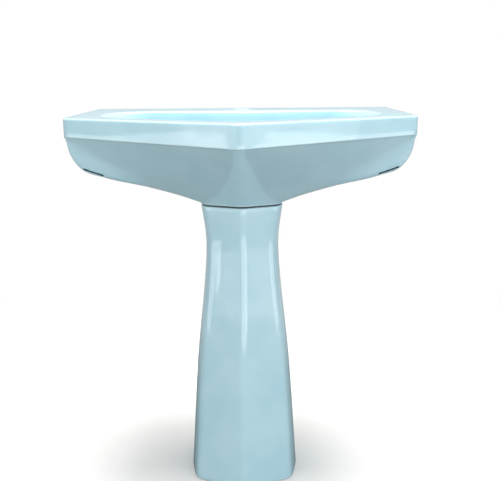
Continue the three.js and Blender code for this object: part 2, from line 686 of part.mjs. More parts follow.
function plugKnob() {
  const low = PLUG_SEAL_TOP + GAP + PLUG_DISC_HEIGHT + GAP;
  const radius = KNOB_DIAMETER / 2;
  return turned([
    [0, low],
    [0.75 * radius, low],
    [0.7 * radius, low + 0.1 * KNOB_HEIGHT],
    [0.38 * radius, low + 0.25 * KNOB_HEIGHT],
    [0.38 * radius, low + 0.45 * KNOB_HEIGHT],
    [0.9 * radius, low + 0.62 * KNOB_HEIGHT],
    [radius, low + 0.78 * KNOB_HEIGHT],
    [0.85 * radius, low + 0.93 * KNOB_HEIGHT],
    [0.5 * radius, low + KNOB_HEIGHT],
    [0, low + KNOB_HEIGHT],
  ]);
}

// ---- Bottle trap ---------------------------------------------------------------------------------

const SLIP_WASHER_TOP = TAIL_END - GAP;
const PIPE_TOP = SLIP_WASHER_TOP - SLIP_WASHER_THICKNESS - GAP;
const PIPE_FLANGE_LOW = PIPE_TOP - TRAP_PIPE_FLANGE;
const NUT_LIP_TOP = PIPE_FLANGE_LOW - GAP;
const BOTTLE_TOP = NUT_LIP_TOP - NUT_LIP - TRAP_PIPE_EXPOSED;
const BOTTLE_LOW = BOTTLE_TOP - BOTTLE_SHOULDER - BOTTLE_HEIGHT;
const OUTLET_Z = BOTTLE_TOP - BOTTLE_SHOULDER - SPIGOT_THREAD_DIAMETER / 2 - SPIGOT_DROP;

// A slip nut about Z: it grips a thread above its lip and holds the pipe's washer.
function slipNut(thread, lipTop, grip) {
  const inner = thread / 2 + GAP;
  const outer = inner + NUT_WALL;
  return turned([
    [PIPE_HOLE / 2, lipTop - NUT_LIP],
    [outer - 1.5, lipTop - NUT_LIP],
    [outer, lipTop - NUT_LIP + 1.5],
    [outer, lipTop + grip],
    [inner, lipTop + grip],
    [inner, lipTop],
    [PIPE_HOLE / 2, lipTop],
  ]);
}

function trapInletNut() {
  const stack = TAIL_END - NUT_LIP_TOP;
  return slipNut(WASTE_TAIL_DIAMETER, NUT_LIP_TOP, stack + NUT_GRIP);
}

function trapInletWasher() {
  const low = SLIP_WASHER_TOP - SLIP_WASHER_THICKNESS;
  return washer(WASTE_TAIL_DIAMETER - 1, WASTE_BORE_DIAMETER, low, SLIP_WASHER_TOP);
}

function trapBody() {
  const outer = BOTTLE_DIAMETER / 2;
  const inner = outer - BOTTLE_WALL;
  const pipe = TRAP_PIPE_DIAMETER / 2;
  const bore = TRAP_PIPE_BORE / 2;
  const flange = WASTE_TAIL_DIAMETER / 2 - 0.5;
  const shoulderLow = BOTTLE_TOP - BOTTLE_SHOULDER;
  const dipEnd = BOTTLE_TOP - DIP_LENGTH;
  const bottle = turned([
    [bore, PIPE_TOP], [flange, PIPE_TOP], [flange, PIPE_FLANGE_LOW], [pipe, PIPE_FLANGE_LOW],
    [pipe, BOTTLE_TOP], [outer, shoulderLow], [outer, BOTTLE_LOW], [inner, BOTTLE_LOW],
    [inner, shoulderLow - BOTTLE_WALL], [pipe, BOTTLE_TOP - 1.4 * BOTTLE_WALL], [pipe, dipEnd],
    [bore, dipEnd],
  ].reverse());
  const spigotLow = inner - 1;
  const spigotEnd = outer + SPIGOT_LENGTH;
  const spigot = disc(SPIGOT_THREAD_DIAMETER, spigotLow, spigotEnd);
  const spigotBore = disc(PIPE_HOLE, spigotLow - CUT_PAST, spigotEnd + CUT_PAST);
  const side = (shape) => shape.rotate([-90, 0, 0]).translate([0, 0, OUTLET_Z]);
  const stub = side(spigot).subtract(disc(2 * inner, BOTTLE_LOW, shoulderLow - BOTTLE_WALL));
  const mouth = side(spigotBore).subtract(disc(2 * (pipe + 2), dipEnd, BOTTLE_TOP));
  return bottle.add(stub).subtract(mouth);
}

const CUP_TOP = BOTTLE_LOW + CUP_OVERLAP;
const CUP_SHELF = BOTTLE_LOW - CUP_SEAL_THICKNESS - 2 * GAP;

function trapCup() {
  const outer = CUP_DIAMETER / 2;
  const thread = BOTTLE_DIAMETER / 2 + GAP;
  const inner = BOTTLE_DIAMETER / 2 - BOTTLE_WALL;
  const low = CUP_TOP - CUP_HEIGHT;
  return turned([
    [0, low], [0.6 * outer, low], [0.92 * outer, low + 0.16 * CUP_HEIGHT], [outer, low + 0.3 * CUP_HEIGHT],
    [outer, CUP_TOP], [thread, CUP_TOP], [thread, CUP_SHELF], [inner, CUP_SHELF],
    [inner, low + 0.3 * CUP_HEIGHT], [0.5 * outer, low + CUP_FLOOR], [0, low + CUP_FLOOR],
  ]);
}

function trapCupSeal() {
  const inner = BOTTLE_DIAMETER - 2 * BOTTLE_WALL + 2 * GAP;
  return washer(BOTTLE_DIAMETER - GAP, inner, CUP_SHELF + GAP, BOTTLE_LOW - GAP);
}

// The outlet pieces lie along Y at the height of the trap's side mouth.
const SPIGOT_END = WASTE_Y + BOTTLE_DIAMETER / 2 + SPIGOT_LENGTH;
const OUTLET_WASHER_Y = SPIGOT_END + GAP;

function alongOutlet(shape, y) {
  return shape.rotate([-90, 0, 0]).translate([0, y, OUTLET_Z]);
}

function trapOutletWasher() {
  const ring = washer(SPIGOT_THREAD_DIAMETER - 1, PIPE_HOLE, 0, SLIP_WASHER_THICKNESS);
  return alongOutlet(ring, OUTLET_WASHER_Y);
}

function trapOutletNut() {
  const lipTop = -(SLIP_WASHER_THICKNESS + GAP);
  const nut = slipNut(SPIGOT_THREAD_DIAMETER, lipTop, SLIP_WASHER_THICKNESS + 2 * GAP + NUT_GRIP);
  return alongOutlet(nut.rotate([180, 0, 0]), OUTLET_WASHER_Y);
}

function outletTube() {
  const start = SPIGOT_END - SPIGOT_INSERTION;
  const tube = washer(TRAP_PIPE_DIAMETER, TRAP_PIPE_BORE, 0, WALL_Y - GAP - start);
  return alongOutlet(tube, start);
}

function wallFlange() {
  const outer = WALL_FLANGE_DIAMETER / 2;
  const hole = PIPE_HOLE / 2;
  const dish = turned([
    [outer, 0], [outer, WALL_FLANGE_SHEET], [0.84 * outer, 0.5 * WALL_FLANGE_HEIGHT],
    [hole + 3, WALL_FLANGE_HEIGHT], [hole, WALL_FLANGE_HEIGHT], [hole, 0],
  ]);
  return fromWall(dish.translate([0, 0, GAP])).translate([0, 0, OUTLET_Z]);
}

// ---- Wall fixings --------------------------------------------------------------------------------

const PAD_FACE = CHINA_WALL + BAND_UNDERCUT + STUD_PAD_THICKNESS;
const BUSH_HOLE = STUD_DIAMETER + 2 * GAP;

function wallStud() {
  return fromWall(disc(STUD_DIAMETER, GAP, GAP + STUD_LENGTH));
}

function studBush() {
  const collarTop = PAD_FACE + GAP + BUSH_COLLAR_THICKNESS;
  return fromWall(
    turned([
      [BUSH_HOLE / 2, GAP],
      [STUD_HOLE_DIAMETER / 2 - GAP, GAP],
      [STUD_HOLE_DIAMETER / 2 - GAP, PAD_FACE + GAP],
      [BUSH_COLLAR_DIAMETER / 2, PAD_FACE + GAP],
      [BUSH_COLLAR_DIAMETER / 2, collarTop],
      [BUSH_HOLE / 2, collarTop],
    ]),
  );
}

function studNut() {
  const low = PAD_FACE + GAP + BUSH_COLLAR_THICKNESS + GAP;
  return fromWall(hexNut(STUD_NUT_FLATS, BUSH_HOLE, low, low + STUD_NUT_HEIGHT));
}

// ---- Pedestal: heights from the floor -------------------------------------------------------------

// The pedestal's corners run up four lines: ridge, front edge, side and open back. Each line has a
// point at the foot, on the lower shaft, at the waist and at the top.
const WAIST_HEIGHT = PEDESTAL_HEIGHT - WAIST_DROP;
const SHAFT_HEIGHT = 0.5 * WAIST_HEIGHT;

function shaftPoint(foot, waist, spread) {
  return THREE.MathUtils.lerp(waist, foot, spread);
}

function pedestalLines(inset) {
  const back = inset > 0 ? 4 * inset : 0;
  const waistEdgeY = NECK_EDGE_Y - 1;
  const waistRidgeY = NECK_RIDGE_Y + 2;
  const line = (foot, waist, top) =>
    new THREE.CatmullRomCurve3(
      [
        point(foot[0], foot[1], 0),
        point(shaftPoint(foot[0], waist[0], 0.58), shaftPoint(foot[1], waist[1], 0.5), SHAFT_HEIGHT),
        point(waist[0], waist[1], WAIST_HEIGHT),
        point(top[0], top[1], PEDESTAL_HEIGHT),
      ],
      false,
      "centripetal",
    );
  return [
    line([0, FOOT_RIDGE_Y + inset], [0, waistRidgeY + inset], [0, NECK_RIDGE_Y + inset]),
    line(
      [FOOT_HALF_WIDTH - inset, FOOT_RIDGE_Y + FOOT_RIDGE_LENGTH + 0.8 * inset],
      [WAIST_HALF_WIDTH - inset, waistEdgeY + 0.8 * inset],
      [NECK_HALF_WIDTH - 4 - inset, NECK_EDGE_Y + 0.8 * inset],
    ),
    line(
      [FOOT_SIDE_WIDTH - inset, FOOT_RIDGE_Y + FOOT_RIDGE_LENGTH + FOOT_SIDE_SETBACK],
      [WAIST_SIDE_WIDTH - inset, waistEdgeY + WAIST_SIDE_SETBACK],
      [NECK_SIDE_WIDTH - inset, NECK_EDGE_Y + NECK_SIDE_SETBACK],
    ),
    line(
      [FOOT_SIDE_WIDTH - BACK_TOE_IN - inset, FOOT_BACK_Y + back],
      [WAIST_SIDE_WIDTH - BACK_TOE_IN - inset, NECK_BACK_Y + back],
      [NECK_SIDE_WIDTH - BACK_TOE_IN - inset, NECK_BACK_Y + back],
    ),
  ];
}

// The crossing of one of the pedestal's lines with a height.
function atHeight(line, z) {
  let [low, high] = [0, 1];
  for (let i = 0; i < 40; i++) {
    const middle = (low + high) / 2;
    if (line.getPoint(middle).z < z) {
      low = middle;
    } else {
      high = middle;
    }
  }
  return line.getPoint(high).setZ(z);
}

function pedestalRing(lines, z, inset = 0) {
  const [ridge, edge, side, back] = lines.map((line) => atHeight(line, z));
  const front = { at: ridge, cut: RIDGE_ROUNDING };
  const softer = PEDESTAL_EDGE_ROUNDING - inset / 2;
  const rightSide = [
    { at: edge, cut: softer },
    { at: side, cut: softer },
    { at: back, cut: 3 },
  ];
  return roundedRing(mirrored(front, rightSide));
}

const SCREW_X = FOOT_SIDE_WIDTH - CHINA_WALL - LUG_INSET - LUG_WIDTH / 2;
const SCREW_Y = FOOT_BACK_Y - LUG_LENGTH / 2 - LUG_FROM_BACK;

function pedestal() {
  const outer = pedestalLines(0);
  const inner = pedestalLines(CHINA_WALL);
  const steps = 10;
  const outerRings = [];
  const innerRings = [];
  for (let i = 0; i <= steps; i++) {
    const z = (i / steps) * PEDESTAL_HEIGHT;
    outerRings.push(pedestalRing(outer, z));
    innerRings.push(pedestalRing(inner, z, CHINA_WALL));
  }
  innerRings[0].forEach((corner) => corner.setZ(-CUT_PAST));
  innerRings.at(-1).forEach((corner) => corner.setZ(PEDESTAL_HEIGHT + CUT_PAST));
  const rooted = LUG_INSET + CHINA_WALL;
  const lugX = SCREW_X + rooted / 2;
  let lugs = block(LUG_WIDTH + rooted, LUG_LENGTH, LUG_HEIGHT, lugX, SCREW_Y, LUG_HEIGHT / 2);
  lugs = lugs.add(lugs.mirror([1, 0, 0]));
  const hole = disc(SCREW_HOLE_DIAMETER, -CUT_PAST, LUG_HEIGHT + CUT_PAST);
  const holes = hole.translate([SCREW_X, SCREW_Y, 0]).add(hole.translate([-SCREW_X, SCREW_Y, 0]));
  const shell = loft(outerRings).subtract(loft(innerRings).subtract(lugs));
  return shell.subtract(holes);
}

// The cushion between basin and pedestal follows the top of the pedestal's wall.
function seatCushion() {
  const low = PEDESTAL_HEIGHT + GAP;
  const high = low + CUSHION_THICKNESS;
  const ring = (inset, z) => {
    const lines = pedestalLines(inset);
    return pedestalRing(lines, PEDESTAL_HEIGHT, inset).map((corner) => corner.setZ(z));
  };
  const outer = loft([ring(CUSHION_INSET, low), ring(CUSHION_INSET, high)]);
  const inset = CUSHION_INSET + CUSHION_WIDTH;
  const inner = loft([ring(inset, low - 1), ring(inset, high + 1)]);
  const behindY = NECK_BACK_Y - CHINA_WALL + RIM_DEPTH / 2;
  const behind = block(RIM_WIDTH, RIM_DEPTH, 8 * CUSHION_THICKNESS, 0, behindY, high);
  return outer.subtract(inner).subtract(behind);
}

// ---- Floor fixings --------------------------------------------------------------------------------

function floorScrew() {
  const headLow = LUG_HEIGHT + 2 * GAP + SCREW_WASHER_THICKNESS;
  const [shank, head] = [SCREW_DIAMETER / 2, SCREW_HEAD_DIAMETER / 2];
  return turned([
    [0, GAP], [shank, GAP], [shank, headLow], [head, headLow],
    [0.9 * head, headLow + 0.6 * SCREW_HEAD_HEIGHT], [0.5 * head, headLow + SCREW_HEAD_HEIGHT],
    [0, headLow + SCREW_HEAD_HEIGHT],
  ]);
}

function screwWasher() {
  const low = LUG_HEIGHT + GAP;
  const hole = SCREW_DIAMETER + 2 * GAP;
  return washer(SCREW_WASHER_DIAMETER, hole, low, low + SCREW_WASHER_THICKNESS);
}

function screwCap() {
  const low = LUG_HEIGHT + GAP;
  const outer = SCREW_CAP_DIAMETER / 2;
  const inner = outer - SCREW_CAP_WALL;
  const roof = low + SCREW_WASHER_THICKNESS + SCREW_HEAD_HEIGHT + SCREW_CAP_HEADROOM;
  return turned([
    [inner, low], [outer, low], [outer, roof], [0.8 * outer, roof + SCREW_CAP_WALL],
    [0, roof + SCREW_CAP_WALL], [0, roof], [inner, roof],
  ]);
}

// ---- Assembly -------------------------------------------------------------------------------------

function basinGroup() {
  const group = new THREE.Group();
  group.position.z = RIM_TOP;
  group.add(
    named("basin", basin(), CHINA),
    named("trap_outlet_nut", trapOutletNut(), CHROME),
    named("trap_outlet_washer", trapOutletWasher(), RUBBER),
    named("outlet_tube", outletTube(), CHROME),
    named("wall_flange", wallFlange(), CHROME),
  );
  for (const [end, side] of [["left", -1], ["right", 1]]) {
    const fixings = new THREE.Group();
    fixings.position.set((side * STUD_SPACING) / 2, 0, -STUD_DROP);
    fixings.add(
      named(`wall_stud_${end}`, wallStud(), ZINC_STEEL),
      named(`stud_bush_${end}`, studBush(), NYLON),
      named(`stud_nut_${end}`, studNut(), ZINC_STEEL),
    );
    group.add(fixings);
  }
  group.add(wasteGroup());
  return group;
}

function wasteGroup() {
  const group = new THREE.Group();
  group.position.y = WASTE_Y;
  group.add(
    named("waste_body", wasteBody(), CHROME),
    named("waste_flange_seal", wasteFlangeSeal(), RUBBER),
    named("waste_lower_washer", wasteLowerWasher(), RUBBER),
    named("waste_backnut", wasteBacknut(), BRASS),
    named("plug_body", plugBody(), CHROME),
    named("plug_seal", plugSeal(), RUBBER),
    named("plug_knob", plugKnob(), CHROME),
    named("trap_inlet_nut", trapInletNut(), CHROME),
    named("trap_inlet_washer", trapInletWasher(), RUBBER),
    named("trap_body", trapBody(), CHROME),
    named("trap_cup", trapCup(), CHROME),
    named("trap_cup_seal", trapCupSeal(), RUBBER),
  );
  return group;
}

function pedestalGroup() {
  const group = new THREE.Group();
  group.add(named("pedestal", pedestal(), CHINA), named("seat_cushion", seatCushion(), RUBBER));
  for (const [end, side] of [["left", -1], ["right", 1]]) {
    const fixings = new THREE.Group();
    fixings.position.set(side * SCREW_X, SCREW_Y, 0);
    fixings.add(
      named(`floor_screw_${end}`, floorScrew(), ZINC_STEEL),
      named(`screw_washer_${end}`, screwWasher(), NYLON),
      named(`screw_cap_${end}`, screwCap(), NYLON),
    );
    group.add(fixings);
  }
  return group;
}

const sink = new THREE.Group();
sink.add(basinGroup(), pedestalGroup());

export default sink;
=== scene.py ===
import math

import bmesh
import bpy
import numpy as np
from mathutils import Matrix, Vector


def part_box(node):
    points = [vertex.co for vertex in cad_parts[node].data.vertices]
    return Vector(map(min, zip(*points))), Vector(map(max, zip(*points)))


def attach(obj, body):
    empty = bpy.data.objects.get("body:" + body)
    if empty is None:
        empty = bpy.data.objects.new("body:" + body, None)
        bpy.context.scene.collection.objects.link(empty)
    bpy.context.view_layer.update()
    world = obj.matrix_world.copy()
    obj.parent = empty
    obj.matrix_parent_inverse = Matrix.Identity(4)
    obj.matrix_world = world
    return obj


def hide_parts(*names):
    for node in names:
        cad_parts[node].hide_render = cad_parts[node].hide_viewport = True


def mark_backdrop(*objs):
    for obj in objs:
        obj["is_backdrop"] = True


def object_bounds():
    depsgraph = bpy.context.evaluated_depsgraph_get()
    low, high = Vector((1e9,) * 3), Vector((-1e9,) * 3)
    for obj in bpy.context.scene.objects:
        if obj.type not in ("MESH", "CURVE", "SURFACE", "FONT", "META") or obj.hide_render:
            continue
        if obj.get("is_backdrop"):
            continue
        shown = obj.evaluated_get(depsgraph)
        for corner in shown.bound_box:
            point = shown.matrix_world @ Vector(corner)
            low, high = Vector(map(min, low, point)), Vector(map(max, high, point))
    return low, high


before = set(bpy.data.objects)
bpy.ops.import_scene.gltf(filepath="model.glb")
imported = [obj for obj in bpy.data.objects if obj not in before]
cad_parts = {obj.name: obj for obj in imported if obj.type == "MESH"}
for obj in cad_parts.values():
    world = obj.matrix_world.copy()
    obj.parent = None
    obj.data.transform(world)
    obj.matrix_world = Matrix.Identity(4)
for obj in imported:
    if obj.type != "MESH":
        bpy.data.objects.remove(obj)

# %% [markdown]
# # A pedestal sink in blue vitreous china
# The sink is two big castings in glazed china, a basin and the pedestal under it, with a turned brass
# waste, a bottle trap and a few screws that hold it together. The measured model of all of them is
# already loaded: it says where every piece is and how big it is. This lesson makes the surfaces that
# the eye sees around it, one piece at a time, and takes each place and size from that model.
# Shapes are drawn in millimetres, because a potter and a plumber both work in them, and they are
# turned into Blender's metres in one place only.

MM = 0.001
measured_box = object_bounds()
high_corner = measured_box[1]
RIM_TOP = high_corner[2] / MM
RIM_HALF = high_corner[0] / MM
print("rim stands at", round(RIM_TOP), "mm and is", round(2 * RIM_HALF), "mm wide")


# %% [markdown]
# ## Measuring a piece
# Most of the fittings are turned on a lathe, so four numbers place them: the middle, the radius and
# the two ends. They could be typed in again here, but then a change to the model would leave the
# looks behind. Reading them from the piece's own box keeps the two together.

# %% Box of a piece, in millimetres
def ends_of(node_name):
    low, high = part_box(node_name)
    return Vector(low) / MM, Vector(high) / MM


def middle_of(node_name):
    low, high = ends_of(node_name)
    return (low + high) / 2


for node_name in ("basin", "pedestal", "waste_body"):
    print(node_name, [round(v) for v in ends_of(node_name)[1] - ends_of(node_name)[0]], "mm")


# %% [markdown]
# ## Colours and nodes
# A paint chart gives colours as sRGB hex values, and a renderer adds up light, so each colour is
# turned to linear values once. Materials are built from nodes. Every node is made in the same way: a
# kind, its own settings, and what feeds its inputs, which is either a value or another node's output.

# %% Colour and node helpers
def linear(hex_colour):
    channels = [int(hex_colour[i : i + 2], 16) / 255 for i in (1, 3, 5)]
    return tuple(c / 12.92 if c <= 0.04045 else ((c + 0.055) / 1.055) ** 2.4 for c in channels) + (1.0,)


def add(tree, kind, settings=None, feeds=None):
    made = tree.nodes.new(kind)
    for name, value in (settings or {}).items():
        setattr(made, name, value)
    for name, value in (feeds or {}).items():
        socket = made.inputs[name]
        if isinstance(value, bpy.types.NodeSocket):
            tree.links.new(value, socket)
        else:
            socket.default_value = value
    return made


def new_finish(name, **constants):
    """An empty material with its shader, whose constant values are set on the shader's own sockets."""
    finish = bpy.data.materials.new(name)
    finish.use_nodes = True
    tree = finish.node_tree
    tree.nodes.clear()
    words = {key.replace("_", " "): value for key, value in constants.items()}
    shader = add(tree, "ShaderNodeBsdfPrincipled", feeds=words)
    add(tree, "ShaderNodeOutputMaterial", feeds={"Surface": shader.outputs["BSDF"]})
    place = add(tree, "ShaderNodeTexCoord").outputs["Object"]
    return finish, tree, shader, place


def cloud(tree, place, size_mm, detail=2.0, stretch=(1, 1, 1)):
    """Soft noise from 0 to 1 whose blotches are size_mm wide. Object coordinates are in metres."""
    spread = add(tree, "ShaderNodeMapping", feeds={"Vector": place, "Scale": stretch})
    feeds = {"Vector": spread.outputs["Vector"], "Scale": 1 / (size_mm * MM), "Detail": detail}
    return add(tree, "ShaderNodeTexNoise", feeds=feeds).outputs["Fac"]


def cells(tree, place, size_mm, output="Distance"):
    """Cells that are size_mm apart: the distance to each cell's middle, or its colour."""
    feeds = {"Vector": place, "Scale": 1 / (size_mm * MM)}
    return add(tree, "ShaderNodeTexVoronoi", feeds=feeds).outputs[output]


def ramp(tree, value, low, high, dark=0.0, light=1.0):
    """Turns the stretch from low to high of a value into dark to light, and holds it at its ends."""
    names = {"Value": value, "From Min": low, "From Max": high, "To Min": dark, "To Max": light}
    settings = {"interpolation_type": "SMOOTHSTEP", "clamp": True}
    return add(tree, "ShaderNodeMapRange", settings, names).outputs["Result"]


def mixed(tree, share, first, second):
    settings = {"data_type": "RGBA"}
    blend = add(tree, "ShaderNodeMix", settings)
    for index, value in ((0, share), (6, first), (7, second)):
        if isinstance(value, bpy.types.NodeSocket):
            tree.links.new(value, blend.inputs[index])
        else:
            blend.inputs[index].default_value = value
    return blend.outputs[2]


def sums(tree, operation, first, second):
    maths = add(tree, "ShaderNodeMath", {"operation": operation})
    for index, value in enumerate((first, second)):
        if isinstance(value, bpy.types.NodeSocket):
            tree.links.new(value, maths.inputs[index])
        else:
            maths.inputs[index].default_value = value
    return maths.outputs["Value"]


def relief(tree, shader, heights):
    """Bumps laid on one another: each is (height from 0 to 1, depth in millimetres)."""
    normal = None
    for height, depth_mm in heights:
        feeds = {"Height": height, "Distance": depth_mm * MM, "Strength": 1.0}
        if normal is not None:
            feeds["Normal"] = normal
        normal = add(tree, "ShaderNodeBump", feeds=feeds).outputs["Normal"]
    tree.links.new(normal, shader.inputs["Normal"])


# %% [markdown]
# ## The glaze
# Vitreous china is white clay fired until it is glass-hard, under a coat of coloured glaze half a
# millimetre thick. Glaze is glass: a colourless reflection (IOR 1.5) over a colour that comes from
# inside. While it melts, it runs off the sharp edges, where the pale clay shines through, and gathers
# in the hollows, where the colour deepens. So the colour follows how much the surface bends. The
# melt never sets dead flat either: a slow waviness bends the reflections, and a finer one, like
# orange peel, softens them. Here and there a bubble has burst into a pinhole.

# %% Blue glaze on vitreous china
GLAZE = "#a9cbd6"
GLAZE_DEEP = "#86b3c2"
GLAZE_THIN = "#d3e6ea"
CLAY = "#e4e1d8"


def blue_glaze():
    finish, tree, shader, place = new_finish("blue_glazed_vitreous_china", IOR=1.52, Metallic=0.0)
    bend = add(tree, "ShaderNodeAttribute", {"attribute_name": "bend"}).outputs["Fac"]
    drift = cloud(tree, place, 90)
    colour = mixed(tree, ramp(tree, drift, 0.35, 0.65, 0.0, 0.22), linear(GLAZE), linear(GLAZE_DEEP))
    colour = mixed(tree, ramp(tree, bend, -0.015, -0.12, 0.0, 0.75), colour, linear(GLAZE_DEEP))
    thin = ramp(tree, cloud(tree, place, 30), 0.3, 0.7, 0.25, 0.45)
    on_edges = sums(tree, "MULTIPLY", ramp(tree, bend, 0.12, 0.4), thin)
    colour = mixed(tree, on_edges, colour, linear(GLAZE_THIN))
    # Pinholes are 0.3 mm wide on the real thing and are drawn at about 0.8 mm, so that they show.
    pits = cells(tree, place, 34)
    pinhole = ramp(tree, pits, 0.012, 0.022, 1.0, 0.0)
    colour = mixed(tree, sums(tree, "MULTIPLY", pinhole, 0.55), colour, linear("#5f6f74"))
    tree.links.new(colour, shader.inputs["Base Color"])
    worn = ramp(tree, cloud(tree, place, 45, 4), 0.45, 0.75, 0.045, 0.085)
    dull_pits = sums(tree, "MULTIPLY", pinhole, 0.4)
    tree.links.new(sums(tree, "MAXIMUM", worn, dull_pits), shader.inputs["Roughness"])
    wave = cloud(tree, place, 55, 1)
    peel = cloud(tree, place, 7, 1)
    relief(tree, shader, [(wave, 0.35), (peel, 0.012), (sums(tree, "SUBTRACT", 1.0, pinhole), 0.08)])
    return finish


def bare_china():
    """The hollow inside is only dusted with glaze: matt, off-white, blue in drifts."""
    finish, tree, shader, place = new_finish("unglazed_vitreous_china", IOR=1.5, Metallic=0.0)
    dust = ramp(tree, cloud(tree, place, 60, 5), 0.42, 0.62, 0.1, 0.85)
    colour = mixed(tree, dust, linear(CLAY), linear("#b9cfd4"))
    colour = mixed(tree, ramp(tree, cloud(tree, place, 3, 3), 0.62, 0.75, 0, 0.35), colour, linear("#a79f8f"))
    tree.links.new(colour, shader.inputs["Base Color"])
    tree.links.new(ramp(tree, dust, 0.1, 0.85, 0.75, 0.35), shader.inputs["Roughness"])
    relief(tree, shader, [(cloud(tree, place, 12, 3), 0.5), (cloud(tree, place, 1.6, 2), 0.06)])
    return finish


CHINA = [blue_glaze(), bare_china()]
print("china finishes:", [finish.name for finish in CHINA])


# %% [markdown]
# ## The metals, the rubber and the nylon
# Chrome plate is a mirror over polished brass, so it has hardly any colour of its own: what shows is
# dried water spots and a haze of fine wiping scratches. Bare brass from the lathe keeps its turning
# marks and a brown film of age. Zinc plate is grey-blue and dull, with crystals a few millimetres
# wide. Rubber is dark and has a pale bloom. Nylon is moulded, so it is evenly grained and milky.

# %% Chrome plate on polished brass
def chrome_plate():
    finish, tree, shader, place = new_finish("chrome_plate_on_brass", Metallic=1.0)
    spots = cells(tree, place, 7)
    ring = sums(tree, "MULTIPLY", ramp(tree, spots, 0.16, 0.24), ramp(tree, spots, 0.30, 0.24))
    spotted = sums(tree, "MULTIPLY", ring, ramp(tree, cloud(tree, place, 18), 0.5, 0.65))
    colour = mixed(tree, sums(tree, "MULTIPLY", spotted, 0.35), linear("#d6d8da"), linear("#b9bab6"))
    tree.links.new(colour, shader.inputs["Base Color"])
    haze = ramp(tree, cloud(tree, place, 9, 4), 0.35, 0.75, 0.05, 0.13)
    tree.links.new(sums(tree, "ADD", haze, sums(tree, "MULTIPLY", spotted, 0.16)), shader.inputs["Roughness"])
    # Wiping scratches are hair fine. They are drawn 0.25 mm wide so that they show.
    wiped = cloud(tree, place, 0.25, 1, stretch=(1, 1, 0.12))
    relief(tree, shader, [(wiped, 0.0012), (cloud(tree, place, 14, 1), 0.03)])
    return finish


# %% Turned brass, zinc plated steel
def turned_brass():
    finish, tree, shader, place = new_finish("turned_brass", Metallic=1.0)
    film = ramp(tree, cloud(tree, place, 11, 4), 0.4, 0.7)
    tree.links.new(mixed(tree, film, linear("#c4a05a"), linear("#8d6c3a")), shader.inputs["Base Color"])
    tree.links.new(ramp(tree, film, 0, 1, 0.24, 0.46), shader.inputs["Roughness"])
    # The lathe's feed leaves a groove every 0.2 mm. They are drawn 0.6 mm apart so that they show.
    groove = cloud(tree, place, 0.6, 1, stretch=(0.03, 0.03, 1))
    relief(tree, shader, [(groove, 0.012)])
    return finish


def zinc_plate():
    finish, tree, shader, place = new_finish("zinc_plated_steel", Metallic=1.0)
    crystal = cells(tree, place, 2.2, "Color")
    grey = add(tree, "ShaderNodeSeparateColor", feeds={"Color": crystal}).outputs["Red"]
    colour = mixed(tree, grey, linear("#989da2"), linear("#b6bbbe"))
    white_rust = ramp(tree, cloud(tree, place, 5, 4), 0.6, 0.72, 0, 0.6)
    tree.links.new(mixed(tree, white_rust, colour, linear("#d8d9d4")), shader.inputs["Base Color"])
    tree.links.new(ramp(tree, grey, 0, 1, 0.3, 0.45), shader.inputs["Roughness"])
    relief(tree, shader, [(cloud(tree, place, 0.8, 2), 0.015)])
    return finish


# %% Moulded rubber and moulded nylon
def moulded_rubber():
    finish, tree, shader, place = new_finish("moulded_black_rubber", IOR=1.52, Metallic=0.0)
    bloom = ramp(tree, cloud(tree, place, 8, 4), 0.5, 0.75, 0.0, 0.5)
    tree.links.new(mixed(tree, bloom, linear("#2a2b2c"), linear("#57595a")), shader.inputs["Base Color"])
    tree.links.new(ramp(tree, bloom, 0, 0.5, 0.55, 0.85), shader.inputs["Roughness"])
    relief(tree, shader, [(cloud(tree, place, 0.7, 2), 0.02), (cloud(tree, place, 6, 1), 0.1)])
    return finish


def moulded_nylon():
    settings = {"IOR": 1.53, "Metallic": 0.0, "Subsurface Weight": 0.25, "Subsurface Scale": 0.002}
    finish, tree, shader, place = new_finish("moulded_white_nylon")
    for name, value in settings.items():
        shader.inputs[name].default_value = value
    age = ramp(tree, cloud(tree, place, 15, 3), 0.35, 0.7)
    tree.links.new(mixed(tree, age, linear("#ecebe5"), linear("#dfdbcb")), shader.inputs["Base Color"])
    tree.links.new(ramp(tree, cloud(tree, place, 6, 2), 0.3, 0.7, 0.38, 0.52), shader.inputs["Roughness"])
    # The mould is spark eroded, which gives nylon a grain 0.4 mm wide.
    relief(tree, shader, [(cloud(tree, place, 0.4, 2), 0.01)])
    return finish


CHROME = chrome_plate()
BRASS = turned_brass()
ZINC = zinc_plate()
RUBBER = moulded_rubber()
NYLON = moulded_nylon()


# %% [markdown]
# ## Lines and rings
# Both castings came out of plaster moulds whose maker drew a few lines, such as the spine under the
# prow, and stretched a surface over them. The same is done here. A smooth line is drawn through a few
# points, rings are hung on the lines at one height after another, and a skin joins ring to ring.
# Subdividing a rough cage would be quicker, but it lets the corners drift, and these corners are what
# makes the sink. Each corner of a ring is rounded by a short curve, and the flats between corners
# belly out a little, as slip-cast flats always do.

# %% A smooth line through a few points
def smooth_line(points, evenness=0.5):
    """Even samples of a Catmull-Rom curve. evenness is the power that chord lengths are raised to."""
    points = [Vector(p) for p in points]
    points = [2 * points[0] - points[1]] + points + [2 * points[-1] - points[-2]]
    fine = []
    for a, b, c, d in zip(points, points[1:], points[2:], points[3:]):
        before, here, after = [(q - p).length ** (2 * evenness) for p, q in ((a, b), (b, c), (c, d))]
        start = ((b - a) / before - (c - a) / (before + here) + (c - b) / here) * here
        end = ((c - b) / here - (d - b) / (here + after) + (d - c) / after) * here
        for step in range(40):
            t = step / 40
            cube = (2 * b - 2 * c + start + end) * t**3
            square = (3 * c - 3 * b - 2 * start - end) * t**2
            fine.append(cube + square + start * t + b)
    return fine + [points[-2]]


